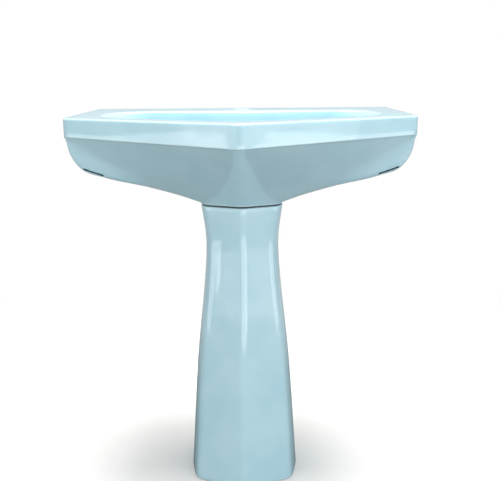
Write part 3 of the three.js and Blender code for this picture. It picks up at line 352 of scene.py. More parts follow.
def along(line, share):
    """The point at a share of a line's length."""
    lengths = [0.0]
    for p, q in zip(line, line[1:]):
        lengths.append(lengths[-1] + (q - p).length)
    wanted = min(max(share, 0.0), 1.0) * lengths[-1]
    for i in range(1, len(line)):
        if lengths[i] >= wanted:
            part = (wanted - lengths[i - 1]) / max(lengths[i] - lengths[i - 1], 1e-9)
            return line[i - 1].lerp(line[i], part)
    return line[-1].copy()


# %% A ring with rounded corners and gently bellied flats
CORNER_STEPS = 10


def ring_of(corners, flats, belly=0.0):
    """corners are (point, cut); flats say how many steps each stretch after a corner has."""
    ring = []
    for i, (at, cut) in enumerate(corners):
        before, after = corners[i - 1][0], corners[(i + 1) % len(corners)][0]
        start = at + (before - at).normalized() * min(cut, 0.45 * (before - at).length)
        end = at + (after - at).normalized() * min(cut, 0.45 * (after - at).length)
        for step in range(CORNER_STEPS + 1):
            t = step / CORNER_STEPS
            ring.append(start * (1 - t) ** 2 + 2 * at * t * (1 - t) + end * t**2)
        next_cut = min(corners[(i + 1) % len(corners)][1], 0.45 * (after - at).length)
        goal = after + (at - after).normalized() * next_cut
        outward = Vector((goal.y - end.y, end.x - goal.x, 0)).normalized()
        bulge = belly * min((goal - end).length / 100, 1.0)
        for step in range(1, flats[i]):
            t = step / flats[i]
            ring.append(end.lerp(goal, t) + outward * bulge * (4 * t * (1 - t)) ** 1.5)
    return ring


def both_sides(front, right_side):
    """Completes corners listed from the front round the right to the back with the left ones."""
    left_side = [(Vector((-at.x, at.y, at.z)), cut) for at, cut in reversed(right_side)]
    return [front] + right_side + left_side


# %% Skinning rings, and making an object
def skin(rings, round_again=False):
    """Quads between neighbouring rings of equal length, as (points, faces)."""
    count = len(rings[0])
    points = [p for ring in rings for p in ring]
    faces = []
    for k in range(len(rings) if round_again else len(rings) - 1):
        here, there = k * count, ((k + 1) % len(rings)) * count
        for i in range(count):
            j = (i + 1) % count
            faces.append((here + i, here + j, there + j, there + i))
    return points, faces


def make_object(name, points, faces, origin=(0, 0, 0), finishes=(), finish_of=None):
    """origin is in millimetres too. finish_of gives the number of each face's finish."""
    mesh = bpy.data.meshes.new(name)
    start = Vector(origin)
    mesh.from_pydata([(Vector(p) + start) * MM for p in points], [], faces)
    for finish in finishes:
        mesh.materials.append(finish)
    if finish_of:
        mesh.polygons.foreach_set("material_index", finish_of)
    work = bmesh.new()
    work.from_mesh(mesh)
    bmesh.ops.remove_doubles(work, verts=work.verts, dist=0.002 * MM)
    bmesh.ops.delete(work, geom=[edge for edge in work.edges if not edge.link_faces], context="EDGES")
    bmesh.ops.recalc_face_normals(work, faces=work.faces)
    work.to_mesh(mesh)
    work.free()
    made = bpy.data.objects.new(name, mesh)
    bpy.context.scene.collection.objects.link(made)
    return made


# %% [markdown]
# ## Cutting and joining
# Holes could be woven into the rings, but each would bend the smooth surface round it. A boolean cut
# leaves the surface alone, and the cutter can carry the round of the hole's edge on its own flared
# mouth, so the hole looks glazed over and not sawn.

# %% Boolean work
def combined(target, tool, operation):
    cut = target.modifiers.new(operation, "BOOLEAN")
    cut.object = tool
    cut.operation = operation
    cut.solver = "MANIFOLD"
    shaped = target.evaluated_get(bpy.context.evaluated_depsgraph_get())
    mesh = bpy.data.meshes.new_from_object(shaped)
    target.modifiers.clear()
    old = target.data
    target.data = mesh
    bpy.data.meshes.remove(old)
    bpy.data.objects.remove(tool)
    return target


def joined(name, pieces):
    """One object from several that don't touch each other."""
    work = bmesh.new()
    for piece in pieces:
        work.from_mesh(piece.data)
    mesh = bpy.data.meshes.new(name)
    work.to_mesh(mesh)
    work.free()
    for finish in pieces[0].data.materials:
        mesh.materials.append(finish)
    for piece in pieces:
        bpy.data.objects.remove(piece)
    made = bpy.data.objects.new(name, mesh)
    bpy.context.scene.collection.objects.link(made)
    return made


def smoothed(piece, crease_degrees=32):
    piece.data.shade_smooth()
    piece.data.set_sharp_from_angle(angle=math.radians(crease_degrees))
    return piece


# %% [markdown]
# ## Turned pieces
# A lathe gives every fitting its shape, so one function turns them all: a closed outline of radius
# and height, spun round an axis. No turned edge is left sharp, so each corner of the outline is eased
# by a short curve. A few pieces aren't quite round, such as a grip with flutes or a screw thread: for
# them the radius is changed a little as the outline spins.

# %% Easing an outline, and spinning it
def eased(outline, ease=0.4, steps=4):
    """Rounds the corners of a closed outline of (radius, height) or (radius, height, ease) points."""
    rounded = []
    for i, corner in enumerate(outline):
        at = Vector(corner[:2])
        before, after = Vector(outline[i - 1][:2]), Vector(outline[(i + 1) % len(outline)][:2])
        cut = corner[2] if len(corner) > 2 else ease
        if at.x < 1e-6 or cut == 0:
            rounded.append(at)
            continue
        start = at + (before - at).normalized() * min(cut, 0.45 * (before - at).length)
        end = at + (after - at).normalized() * min(cut, 0.45 * (after - at).length)
        for step in range(steps + 1):
            t = step / steps
            rounded.append(start * (1 - t) ** 2 + 2 * at * t * (1 - t) + end * t**2)
    return rounded


UPRIGHT = Matrix.Identity(3)
TO_THE_WALL = Matrix.Rotation(math.radians(-90), 3, "X")  # heights run along +Y


def spun(name, outline, origin, turn=UPRIGHT, steps=96, waver=None, finishes=()):
    rings = []
    for step in range(steps):
        angle = 2 * math.pi * step / steps
        ring = []
        for radius, height in outline:
            reach = waver(angle, radius, height) if waver else radius
            ring.append(turn @ Vector((reach * math.cos(angle), reach * math.sin(angle), height)))
        rings.append(ring)
    points, faces = skin(rings, round_again=True)
    made = make_object(name, points, faces, origin, finishes)
    return made


def fitted(piece, body, node_name, finish):
    """A finished fitting: smooth, riding on its body, standing for its measured node."""
    if not piece.data.materials:
        piece.data.materials.append(finish)
    smoothed(piece)
    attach(piece, body)
    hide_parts(node_name)
    print(piece.name, "has", len(piece.data.polygons), "faces")
    return piece


# %% [markdown]
# ## The basin's outside
# Seen from above the basin is a box with a pointed prow. A thin band runs round its top, and under it
# the china falls to the neck in facets. Four lines carry them: the spine under the prow, the chine
# between the front and side facets, the bilge under the side facet and the rear line.

# %% Sizes of the basin
basin_low, basin_high = ends_of("basin")
WALL_Y = basin_high.y
PROW_LENGTH = 190
PROW_CUT, SIDE_CUT, REAR_CUT = 16, 22, 12
BAND_PROW, BAND_SIDE = 44, 37
UNDERCUT = 5  # of the hull's front, behind the band; its sides run on flush
EDGE_ROUND = 4
WALL = 11
BASIN_HEIGHT = RIM_TOP - basin_low.z
PROW_SLOPE = PROW_LENGTH / RIM_HALF
PROW_Y = basin_low.y - 0.5 * PROW_CUT * math.sin(math.atan(PROW_SLOPE))
CORNER_Y = PROW_Y + PROW_LENGTH
NECK_HALF, NECK_SIDE = 84, 88
NECK_RIDGE_Y, NECK_EDGE_Y, NECK_BACK_Y = -35, -3, 95
NECK_ROUND = 3
BASIN_FLATS = [26, 5, 26, 44, 26, 5, 26]
print("the basin is", round(BASIN_HEIGHT), "mm high and its prow starts at y =", round(PROW_Y), "mm")


# %% The four lines of the hull, and its rings
def hull_line(start, end, shares):
    between = []
    for across, down_y, down_z in shares:
        between.append(
            Vector(
                (
                    start.x + (end.x - start.x) * across,
                    start.y + (end.y - start.y) * down_y,
                    start.z + (end.z - start.z) * down_z,
                )
            )
        )
    return smooth_line([start] + between + [end])


def hull_lines(inset):
    half = RIM_HALF - inset
    floor = -BASIN_HEIGHT + NECK_ROUND
    spine = hull_line(
        Vector((0, PROW_Y + UNDERCUT + 1.25 * inset, -BAND_PROW)),
        Vector((0, NECK_RIDGE_Y + inset, floor)),
        [(0, 0.5, 0.47)],
    )
    chine = hull_line(
        Vector((half, CORNER_Y + UNDERCUT + 0.5 * inset, -BAND_SIDE)),
        Vector((NECK_HALF - inset, NECK_EDGE_Y + 0.8 * inset, floor)),
        [(0.17, 0.2, 0.23), (0.45, 0.45, 0.53), (0.74, 0.74, 0.78)],
    )
    bilge = hull_line(
        Vector((half, CORNER_Y + 18 + inset, -BAND_SIDE)),
        Vector((NECK_SIDE - inset, NECK_EDGE_Y + 34, floor)),
        [(0.014, 0.06, 0.267), (0.09, 0.14, 0.485), (0.243, 0.27, 0.6), (0.58, 0.58, 0.765)],
    )
    rear = hull_line(
        Vector((half, WALL_Y - inset, -BAND_SIDE)),
        Vector((NECK_HALF - inset, NECK_BACK_Y - inset, floor)),
        [(0.03, 0, 0.24), (0.18, 0, 0.44), (0.6, 0.2, 0.62)],
    )
    return spine, chine, bilge, rear


def hull_ring(lines, share, lift=0.0, inset=0.0, belly=1.2):
    spine, chine, bilge, rear = [along(line, share) + Vector((0, 0, lift)) for line in lines]
    rear.y = min(rear.y, WALL_Y - inset)
    side = [(chine, SIDE_CUT), (bilge, SIDE_CUT), (rear, REAR_CUT)]
    return ring_of(both_sides((spine, PROW_CUT), side), BASIN_FLATS, belly)


def band_ring(inset, prow_z, side_z, belly=0.8):
    slant = inset * math.hypot(1, PROW_SLOPE)
    half = RIM_HALF - inset
    corner_y = CORNER_Y + slant - inset * PROW_SLOPE
    side = [
        (Vector((half, corner_y, side_z)), SIDE_CUT),
        (Vector((half, CORNER_Y + 36, side_z)), SIDE_CUT / 2),
        (Vector((half, WALL_Y - inset, side_z)), REAR_CUT),
    ]
    front = (Vector((0, PROW_Y + slant, prow_z)), PROW_CUT)
    ring = ring_of(both_sides(front, side), BASIN_FLATS, belly)
    return [Vector((p.x, min(p.y, WALL_Y - inset), p.z)) for p in ring]


def forward_ring(inset, prow_z, side_z):
    """A ring of the band whose front edges alone are moved in; its sides stay flush."""
    back = inset * math.hypot(1, PROW_SLOPE)
    side = [
        (Vector((RIM_HALF, CORNER_Y + back, side_z)), SIDE_CUT),
        (Vector((RIM_HALF, CORNER_Y + 36, side_z)), SIDE_CUT / 2),
        (Vector((RIM_HALF, WALL_Y, side_z)), REAR_CUT),
    ]
    return ring_of(both_sides((Vector((0, PROW_Y + back, prow_z)), PROW_CUT), side), BASIN_FLATS, 0.8)


def neck_ring(inset, z):
    side = [
        (Vector((NECK_HALF - inset, NECK_EDGE_Y + 0.8 * inset, z)), SIDE_CUT),
        (Vector((NECK_SIDE - inset, NECK_EDGE_Y + 34, z)), SIDE_CUT),
        (Vector((NECK_HALF - inset, NECK_BACK_Y - inset, z)), REAR_CUT),
    ]
    return ring_of(both_sides((Vector((0, NECK_RIDGE_Y + inset, z)), PROW_CUT), side), BASIN_FLATS)


def quarter(steps):
    """Angles of a quarter turn, without its two ends."""
    return [math.pi / 2 * step / steps for step in range(1, steps)]


# %% From the neck up to the top of the rim
def outside_rings():
    lines = hull_lines(0)
    rings = [neck_ring(NECK_ROUND, -BASIN_HEIGHT)]
    for turn in quarter(4):
        inset, rise = NECK_ROUND * (1 - math.sin(turn)), NECK_ROUND * (1 - math.cos(turn))
        rings.append(neck_ring(inset, -BASIN_HEIGHT + rise))
    steps = 44
    rings += [hull_ring(lines, 1 - step / steps) for step in range(steps)]
    crease = hull_ring(lines, 0)
    rings.append(crease)
    low_edge = 2.2
    under_prow, under_side = -BAND_PROW + 0.4, -BAND_SIDE + 0.4
    rings.append(forward_ring(low_edge, under_prow, under_side))
    for turn in quarter(5):
        inset, rise = low_edge * (1 - math.sin(turn)), low_edge * (1 - math.cos(turn))
        rings.append(forward_ring(inset, under_prow + rise, under_side + rise))
    for share in (0.0, 0.2, 0.4, 0.6, 0.8, 1.0):
        prow_z = (under_prow + low_edge) * (1 - share) - EDGE_ROUND * share
        side_z = (under_side + low_edge) * (1 - share) - EDGE_ROUND * share
        rings.append(band_ring(0, prow_z, side_z))
    for turn in quarter(6):
        inset, drop = EDGE_ROUND * (1 - math.cos(turn)), EDGE_ROUND * (1 - math.sin(turn))
        rings.append(band_ring(inset, -drop, -drop))
    rings.append(band_ring(EDGE_ROUND, 0, 0))
    return rings


# %% [markdown]
# ## The bowl
# The bowl follows the rim's outline in a softer line, and all of it runs down to the waste. Its edge
# is a generous round that a wet hand slides over. Each point of the rim is tied to the point of the
# bowl that lies on the way to the waste, so the deck between them is made of straight, even strips.

# %% The bowl's outline and rings
waste_middle = middle_of("waste_body")
BOWL_DEPTH = RIM_TOP - ends_of("waste_body")[1].z
WASTE_Y = waste_middle.y
WASTE_HOLE = 47
FRONT_RIM, SIDE_RIM, TAP_DECK = 66, 58, 135
BOWL_CUT = 78
BOWL_HALF = RIM_HALF - SIDE_RIM
BOWL_BACK_Y = WALL_Y - TAP_DECK
BOWL_SHARES = [
    (0.006, 0.045), (0.022, 0.11), (0.06, 0.3), (0.13, 0.56), (0.28, 0.78), (0.5, 0.9), (0.76, 0.965), (1, 1),
]
BOWL_LIP = [(9, 0.0), (7, 0.12), (5, 0.55), (3.2, 1.35), (1.8, 2.5), (0.8, 3.9)]


def bowl_outline():
    side = [
        (Vector((BOWL_HALF, CORNER_Y + 0.5 * SIDE_RIM, 0)), BOWL_CUT),
        (Vector((0.93 * BOWL_HALF, BOWL_BACK_Y, 0)), BOWL_CUT),
    ]
    return ring_of(both_sides((Vector((0, PROW_Y + FRONT_RIM, 0)), BOWL_CUT), side), [30, 30, 40, 30, 30])


def reach_towards(outline, centre, direction):
    """How far from the centre an outline lies in a direction."""
    best = 0.0
    for p, q in zip(outline, outline[1:] + outline[:1]):
        edge, start = q - p, p - centre
        cross = direction.x * edge.y - direction.y * edge.x
        if abs(cross) < 1e-12:
            continue
        distance = (start.x * edge.y - start.y * edge.x) / cross
        share = (start.x * direction.y - start.y * direction.x) / cross
        if distance > 0 and -1e-6 <= share <= 1 + 1e-6:
            best = max(best, distance)
    return best


def spokes(rim):
    """For each rim point, its direction from the waste and how far the bowl's edge is that way."""
    centre = Vector((0, WASTE_Y, 0))
    outline = bowl_outline()
    found = []
    for p in rim:
        direction = Vector((p.x, p.y - WASTE_Y, 0)).normalized()
        found.append((direction, reach_towards(outline, centre, direction)))
    return found


def bowl_ring(found, inward, down, offset=0.0):
    ring = []
    for direction, reach in found:
        radius = reach + (WASTE_HOLE / 2 - reach) * inward + offset
        ring.append(Vector((0, WASTE_Y, -BOWL_DEPTH * down - max(offset, 0))) + direction * radius)
    return ring


def bowl_section(steps):
    """Even samples of the bowl's section, as (inward, down) shares."""
    scale = Vector((250, 140, 0))
    line = smooth_line([(inward * scale.x, down * scale.y, 0) for inward, down in BOWL_SHARES])
    return [(p.x / scale.x, p.y / scale.y) for p in (along(line, k / steps) for k in range(steps + 1))]


# %% The basin as one solid, before its hollow and holes
def basin_blank():
    rings = outside_rings()
    rim = rings[-1]
    found = spokes(rim)
    lip = [
        [Vector((0, WASTE_Y, -drop)) + direction * (reach + back) for direction, reach in found]
        for back, drop in BOWL_LIP
    ]
    for share in (0.12, 0.3, 0.5, 0.7, 0.88):
        rings.append([p.lerp(q, share) for p, q in zip(rim, lip[0])])
    rings += lip
    rings += [bowl_ring(found, inward, down) for inward, down in bowl_section(34)]
    rings.append(bowl_ring(found, 1, 1.04))
    points, faces = skin(rings)
    count = len(rim)
    faces.append(tuple(reversed(range(count))))
    faces.append(tuple(range(len(points) - count, len(points))))
    return make_object("basin_china", points, faces, (0, 0, RIM_TOP), CHINA)


basin = basin_blank()
print("basin blank:", len(basin.data.polygons), "faces")


# %% [markdown]
# ## The hollow under the bowl
# The casting is hollow: a wall of even thickness under the rim, round the bowl and down the hull. The
# hollow is drawn as its own solid and cut away. What must stay inside it is taken out of the cutter
# first: the bowl's wall, the thick ring round the waste, the overflow's channel and the two pads that
# the wall studs press on.

# %% The overflow channel
OVERFLOW_HOLE, OVERFLOW_SPACING, OVERFLOW_DROP = 9, 15, 34
CHANNEL_WIDTH, CHANNEL_THICKNESS, CHANNEL_WALL, CHANNEL_DROP = 40, 7, 6, 10
CHANNEL_REACH = CHANNEL_WALL + CHANNEL_THICKNESS / 2


def channel(name, grow, run_past, corner):
    """A flat tube with round corners along the back of the bowl."""
    top = BOWL_BACK_Y + CHANNEL_REACH
    hole_edge = WASTE_Y + WASTE_HOLE / 2
    way = smooth_line(
        [
            (0, top, -OVERFLOW_DROP + OVERFLOW_HOLE + grow),
            (0, top - 4, -0.45 * BOWL_DEPTH),
            (0, BOWL_BACK_Y - 22, -0.84 * BOWL_DEPTH),
            (0, hole_edge + 18, -BOWL_DEPTH - CHANNEL_DROP),
            (0, hole_edge - run_past, -BOWL_DEPTH - CHANNEL_DROP),
        ]
    )
    wide, thick = CHANNEL_WIDTH / 2 + grow, CHANNEL_THICKNESS / 2 + grow
    corners = [(Vector((x * wide, y * thick, 0)), corner) for x, y in ((-1, -1), (1, -1), (1, 1), (-1, 1))]
    section = ring_of(corners, [6, 2, 6, 2])
    rings = []
    for step in range(29):
        here = along(way, step / 28)
        ahead = along(way, min(step / 28 + 0.01, 1)) - along(way, max(step / 28 - 0.01, 0))
        outward = Vector((0, -ahead.z, ahead.y)).normalized()
        rings.append([here + Vector((p.x, 0, 0)) + outward * p.y for p in section])
    points, faces = skin(rings)
    faces.append(tuple(reversed(range(len(section)))))
    faces.append(tuple(range(len(points) - len(section), len(points))))
    return make_object(name, points, faces, (0, 0, RIM_TOP), CHINA, [1] * len(faces))


# %% What stays inside the hollow
BOSS_LOW = -BOWL_DEPTH - CHANNEL_DROP - CHANNEL_REACH - 1
BOSS_RADIUS = 36
stud_middle = middle_of("wall_stud_right")
STUD_PAD_RADIUS, STUD_PAD_DEPTH = 22, WALL + UNDERCUT + 8
STUD_HOLE = 14


def china_spun(name, outline, origin, turn=UPRIGHT, inside=True, steps=64):
    made = spun(name, outline, origin, turn, steps, finishes=CHINA)
    made.data.polygons.foreach_set("material_index", [int(inside)] * len(made.data.polygons))
    return made


def bowl_outside(found):
    rings = [bowl_ring(found, 0, -0.1, WALL)]
    rings += [bowl_ring(found, inward, down, WALL) for inward, down in bowl_section(20)]
    points, faces = skin(rings)
    count = len(found)
    faces.append(tuple(reversed(range(count))))
    faces.append(tuple(range(len(points) - count, len(points))))
    return make_object("bowl_wall", points, faces, (0, 0, RIM_TOP), CHINA, [1] * len(faces))


def hollow():
    lines = hull_lines(WALL)
    rings = [neck_ring(WALL, -BASIN_HEIGHT - 6)]
    rings += [hull_ring(lines, 1 - step / 16, 0.8 * WALL, WALL, 0) for step in range(17)]
    rings.append(band_ring(WALL + UNDERCUT, -13, -13, 0))
    points, faces = skin(rings)
    count = len(rings[0])
    faces.append(tuple(reversed(range(count))))
    faces.append(tuple(range(len(points) - count, len(points))))
    return make_object("hollow", points, faces, (0, 0, RIM_TOP), CHINA, [1] * len(faces))


def hollow_cutter(found):
    cutter = combined(hollow(), bowl_outside(found), "DIFFERENCE")
    boss = [(0, BOSS_LOW), (BOSS_RADIUS, BOSS_LOW, 3), (BOSS_RADIUS, -BOWL_DEPTH), (0, -BOWL_DEPTH)]
    cutter = combined(cutter, china_spun("boss", eased(boss), (0, WASTE_Y, RIM_TOP)), "DIFFERENCE")
    cutter = combined(cutter, channel("channel_wall", CHANNEL_WALL, 0, 5), "DIFFERENCE")
    pad = [(0, -STUD_PAD_DEPTH), (STUD_PAD_RADIUS, -STUD_PAD_DEPTH, 4), (STUD_PAD_RADIUS, -1), (0, -1)]
    pads = []
    for side in (-1, 1):
        origin = (side * stud_middle.x, WALL_Y, stud_middle.z)
        pads.append(china_spun("pad", eased(pad), origin, TO_THE_WALL))
    return combined(cutter, joined("pads", pads), "DIFFERENCE")


# %% [markdown]
# ## Holes with glazed edges
# A hole in the wet clay is cut with a tube and its edge is wiped with a sponge, so glaze rolls over it
# in a small round. Each cutter here is a plug with a flared mouth: where it leaves the surface it
# widens by the radius of that round.

# %% Round cutters
def flared(radius, low, high, low_round, high_round):
    """Outline of a round cutter from low to high whose ends flare out beyond the surfaces there."""
    low_past, high_past = (2 if mouth else 4 for mouth in (low_round, high_round))
    outline = [(0, low - low_past), (radius + low_round, low - low_past)]
    for turn in [0] + quarter(5) + [math.pi / 2] if low_round else []:
        outline.append((radius + low_round * (1 - math.sin(turn)), low + low_round * (1 - math.cos(turn))))
    for turn in [0] + quarter(5) + [math.pi / 2] if high_round else []:
        outline.append((radius + high_round * (1 - math.cos(turn)), high - high_round * (1 - math.sin(turn))))
    outline += [(radius + high_round, high + high_past), (0, high + high_past)]
    return [Vector(p) for p in outline]


TAP_HOLE_RADIUS, TAP_FROM_WALL, RIM_THICKNESS = 17.5, 68, 13


def tap_hole_cutter():
    outline = flared(TAP_HOLE_RADIUS, -RIM_THICKNESS, 0, 1.5, 2.2)
    return china_spun("tap_hole", outline, (0, WALL_Y - TAP_FROM_WALL, RIM_TOP), inside=False)


def waste_hole_cutter():
    recess_floor = -BOWL_DEPTH - 4.2
    outline = [
        (0, BOSS_LOW - 4), (WASTE_HOLE / 2, BOSS_LOW - 4, 0), (WASTE_HOLE / 2, recess_floor, 1),
        (33, recess_floor, 0.6), (33, -BOWL_DEPTH - 1.2, 0.8), (34.4, -BOWL_DEPTH + 0.4, 0.8),
        (36, -BOWL_DEPTH + 5, 0), (0, -BOWL_DEPTH + 5),
    ]
    return china_spun("waste_hole", eased(outline), (0, WASTE_Y, RIM_TOP), inside=False, steps=96)


def overflow_cutters():
    cutters = []
    for place in (-1, 0, 1):
        outline = flared(OVERFLOW_HOLE / 2, -6, 13, 0, 1.6)
        origin = (place * OVERFLOW_SPACING, BOWL_BACK_Y + 11.2, RIM_TOP - OVERFLOW_DROP)
        forward = Matrix.Rotation(math.pi / 2, 3, "X")
        cutters.append(china_spun("overflow_hole", outline, origin, forward, False, 40))
    return joined("overflow_holes", cutters)


def stud_hole_cutters():
    cutters = []
    for side in (-1, 1):
        outline = flared(STUD_HOLE / 2, -STUD_PAD_DEPTH, 0, 0.8, 1.2)
        origin = (side * stud_middle.x, WALL_Y, stud_middle.z)
        cutters.append(china_spun("stud_hole", outline, origin, TO_THE_WALL, True, 48))
    return joined("stud_holes", cutters)


# %% [markdown]
# ## The side slots and the opening behind
# A narrow slot with round ends goes in through the bottom corner of each side facet. Under the back of
# the basin a wide opening lets a hand and a spanner reach the tap and the studs. Both are long plugs
# of one outline.

# %% Long cutters
SLOT_LENGTH, SLOT_WIDTH, SLOT_DEPTH = 42, 4, 60
SLOT_PLACE, SLOT_RAISE, SLOT_SLOPE = 0.317, 9.5, 0.37


def slot_cutters():
    middle = along(hull_lines(0)[2], SLOT_PLACE)
    cutters = []
    for side in (-1, 1):
        turn = Matrix.Rotation(-side * SLOT_SLOPE, 3, "Y")
        rings = []
        for back, grow in ((-30, 0), (SLOT_DEPTH, 0)):
            half, radius = (SLOT_LENGTH - SLOT_WIDTH) / 2, SLOT_WIDTH / 2 + grow
            ring = []
            for step in range(40):
                angle = 2 * math.pi * step / 40
                centre = half if math.cos(angle) >= 0 else -half
                across, up = centre + radius * math.cos(angle), radius * math.sin(angle)
                ring.append(turn @ Vector((across, back, up)))
            rings.append(ring)
        points, faces = skin(rings)
        faces += [tuple(range(40)), tuple(range(79, 39, -1))]
        origin = (side * middle.x, middle.y - SLOT_LENGTH / 2, RIM_TOP + middle.z + SLOT_RAISE)
        cutters.append(make_object("slot", points, faces, origin, CHINA, [0] * len(faces)))
    return joined("slots", cutters)


SERVICE_WIDTH, SERVICE_DEPTH, SERVICE_FROM_WALL, SERVICE_TOP = 230, 105, 26, -100


def service_cutter():
    y = WALL_Y - SERVICE_FROM_WALL - SERVICE_DEPTH / 2
    half_x, half_y = SERVICE_WIDTH / 2, SERVICE_DEPTH / 2
    signs = ((-1, -1), (1, -1), (1, 1), (-1, 1))
    corners = [(Vector((sx * half_x, y + sy * half_y, 0)), 22) for sx, sy in signs]
    outline = ring_of(corners, [12, 6, 12, 6])
    rings = [[p + Vector((0, 0, z)) for p in outline] for z in (SERVICE_TOP - 120, SERVICE_TOP)]
    points, faces = skin(rings)
    count = len(outline)
    faces += [tuple(reversed(range(count))), tuple(range(count, 2 * count))]
    return make_object("service_opening", points, faces, (0, 0, RIM_TOP), CHINA, [1] * len(faces))


# %% Cutting the basin
found = spokes(outside_rings()[-1])
basin = combined(basin, hollow_cutter(found), "DIFFERENCE")
for cutter in (
    channel("channel_bore", 0, 6, 3),
    overflow_cutters(),
    waste_hole_cutter(),
    tap_hole_cutter(),
    slot_cutters(),
    service_cutter(),
    stud_hole_cutters(),
):
    label = cutter.name
    basin = combined(basin, cutter, "DIFFERENCE")
    print("after", label, len(basin.data.polygons), "faces")


# %% [markdown]
# ## How much the surface bends
# The glaze is thin on edges and deep in hollows, so its material has to know which is which. For each
# point the bend is worked out from its neighbours: how far their normals lean away for each millimetre
# between them. Edges come out above zero and hollows below. It is smoothed a little, and stored on the
# mesh under a name that the material asks for.

# %% Bend of a surface, stored on its points
def store_bend(piece, rounds=2):
    mesh = piece.data
    count = len(mesh.vertices)
    places, normals = np.empty(count * 3), np.empty(count * 3)
    mesh.vertices.foreach_get("co", places)
    mesh.vertex_normals.foreach_get("vector", normals)
    places, normals = places.reshape(-1, 3) / MM, normals.reshape(-1, 3)
    pairs = np.empty(len(mesh.edges) * 2, int)
    mesh.edges.foreach_get("vertices", pairs)
    a, b = pairs.reshape(-1, 2).T
    apart = places[b] - places[a]
    length = np.maximum(np.linalg.norm(apart, axis=1), 0.4)
    lean = np.einsum("ij,ij->i", normals[b] - normals[a], apart) / length**2
    strongest = np.zeros(count)
    for end in (a, b):
        bigger = np.abs(lean) > np.abs(strongest[end])
        strongest[end[bigger]] = lean[bigger]
    weight = np.bincount(a, minlength=count) + np.bincount(b, minlength=count) + 1.0
    for _ in range(rounds):
        total = strongest + np.bincount(a, strongest[b], count) + np.bincount(b, strongest[a], count)
        strongest = total / weight
    stored = mesh.attributes.new("bend", "FLOAT", "POINT")
    stored.data.foreach_set("value", strongest.astype(np.float32))
    print(piece.name, "bends from", round(strongest.min(), 2), "to", round(strongest.max(), 2), "per mm")


def china_fitted(piece, node_name):
    smoothed(piece, 38)
    store_bend(piece)
    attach(piece, "sink")
    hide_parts(node_name)
    return piece


china_fitted(basin, "basin")


# %% [markdown]
# ## The pedestal
# The pedestal is a shell that is open at the back, so that the trap and the pipes can be reached. Its
# section is a bent U with a ridge at the front. Four lines carry it, from the foot through the narrow
# waist to the head that takes the basin's neck. Every edge of a casting is round, so the wall's foot,
# its head and its two back edges are rounded too.

# %% Sizes and lines of the pedestal
PEDESTAL_HEIGHT = ends_of("pedestal")[1].z
WAIST_HEIGHT = 525
SHAFT_HEIGHT = WAIST_HEIGHT / 2
RIDGE_CUT, SIDES_CUT = 12, 14


def pedestal_lines(inset):
    lines = []
    for foot, waist, top, lean in (
        ((0, -90), (0, -33), (0, -35), (0, 1)),
        ((106, -45), (69, -4), (80, -3), (-1, 0.8)),
        ((120, 21), (79, 32), (88, 31), (-1, 0)),
        ((115, 100), (74, 95), (83, 95), (-1, 0)),
    ):
        shaft = (waist[0] + (foot[0] - waist[0]) * 0.58, waist[1] + (foot[1] - waist[1]) * 0.5)
        shift = Vector((lean[0] * inset, lean[1] * inset, 0))
        heights = (0, SHAFT_HEIGHT, WAIST_HEIGHT, PEDESTAL_HEIGHT)
        points = [Vector((x, y, z)) + shift for (x, y), z in zip((foot, shaft, waist, top), heights)]
        lines.append(smooth_line(points, 0.25))
    return lines


def at_height(line, z):
    for p, q in zip(line, line[1:]):
        if q.z >= z:
            return p.lerp(q, (z - p.z) / max(q.z - p.z, 1e-9))
    return line[-1].copy()


def u_path(lines, z, belly=0.0):
    """One side of the wall at a height, from the left back edge round the ridge to the right one."""
    ridge, edge, side, back = [at_height(line, z) for line in lines]
    mirror = [Vector((-p.x, p.y, p.z)) for p in (back, side, edge)]
    corners = mirror + [ridge, edge, side, back]
    cuts = [0, SIDES_CUT, SIDES_CUT, RIDGE_CUT, SIDES_CUT, SIDES_CUT, 0]
    flats = [14, 8, 18, 18, 8, 14]
    path = [corners[0]]
    for i in range(len(flats)):
        at, after = corners[i], corners[i + 1]
        way = (after - at).normalized()
        start = at + way * min(cuts[i], 0.45 * (after - at).length)
        goal = after - way * min(cuts[i + 1], 0.45 * (after - at).length)
        outward = Vector((way.y, -way.x, 0))
        for step in range(1, flats[i] + 1):
            t = step / flats[i]
            path.append(start.lerp(goal, t) + outward * belly * (4 * t * (1 - t)) ** 1.5)
        if cuts[i + 1]:
            beyond = after + (corners[i + 2] - after).normalized() * cuts[i + 1]
            for step in range(1, CORNER_STEPS + 1):
                t = step / CORNER_STEPS
                path.append(goal * (1 - t) ** 2 + 2 * after * t * (1 - t) + beyond * t**2)
    return path


# %% The pedestal's shell
def wall_ring(outer, inner, z, squeeze):
    """The closed outline of the wall at a height, with both its faces moved in by squeeze."""
    outside = u_path(outer, z, 0.9)
    inside = u_path(inner, z)
    gap = [q - p for p, q in zip(outside, inside)]
    outside = [p + g.normalized() * squeeze for p, g in zip(outside, gap)]
    inside = [q - g.normalized() * squeeze for q, g in zip(inside, gap)]
    ends = []
    for a, b in ((outside[-1], inside[-1]), (inside[0], outside[0])):
        middle, half = (a + b) / 2, (a - b) / 2
        steps = 8
        bow = []
        for step in range(1, steps):
            angle = math.pi * step / steps
            rise = Vector((0, min(abs(half.x), 5.5) * math.sin(angle) ** 0.8, 0))
            bow.append(middle + half * math.cos(angle) + rise)
        ends.append(bow)
    drop = Vector((0, 5.5, 0))
    outside = [p - drop if i in (0, len(outside) - 1) else p for i, p in enumerate(outside)]
    return outside, ends[0], inside, ends[1]


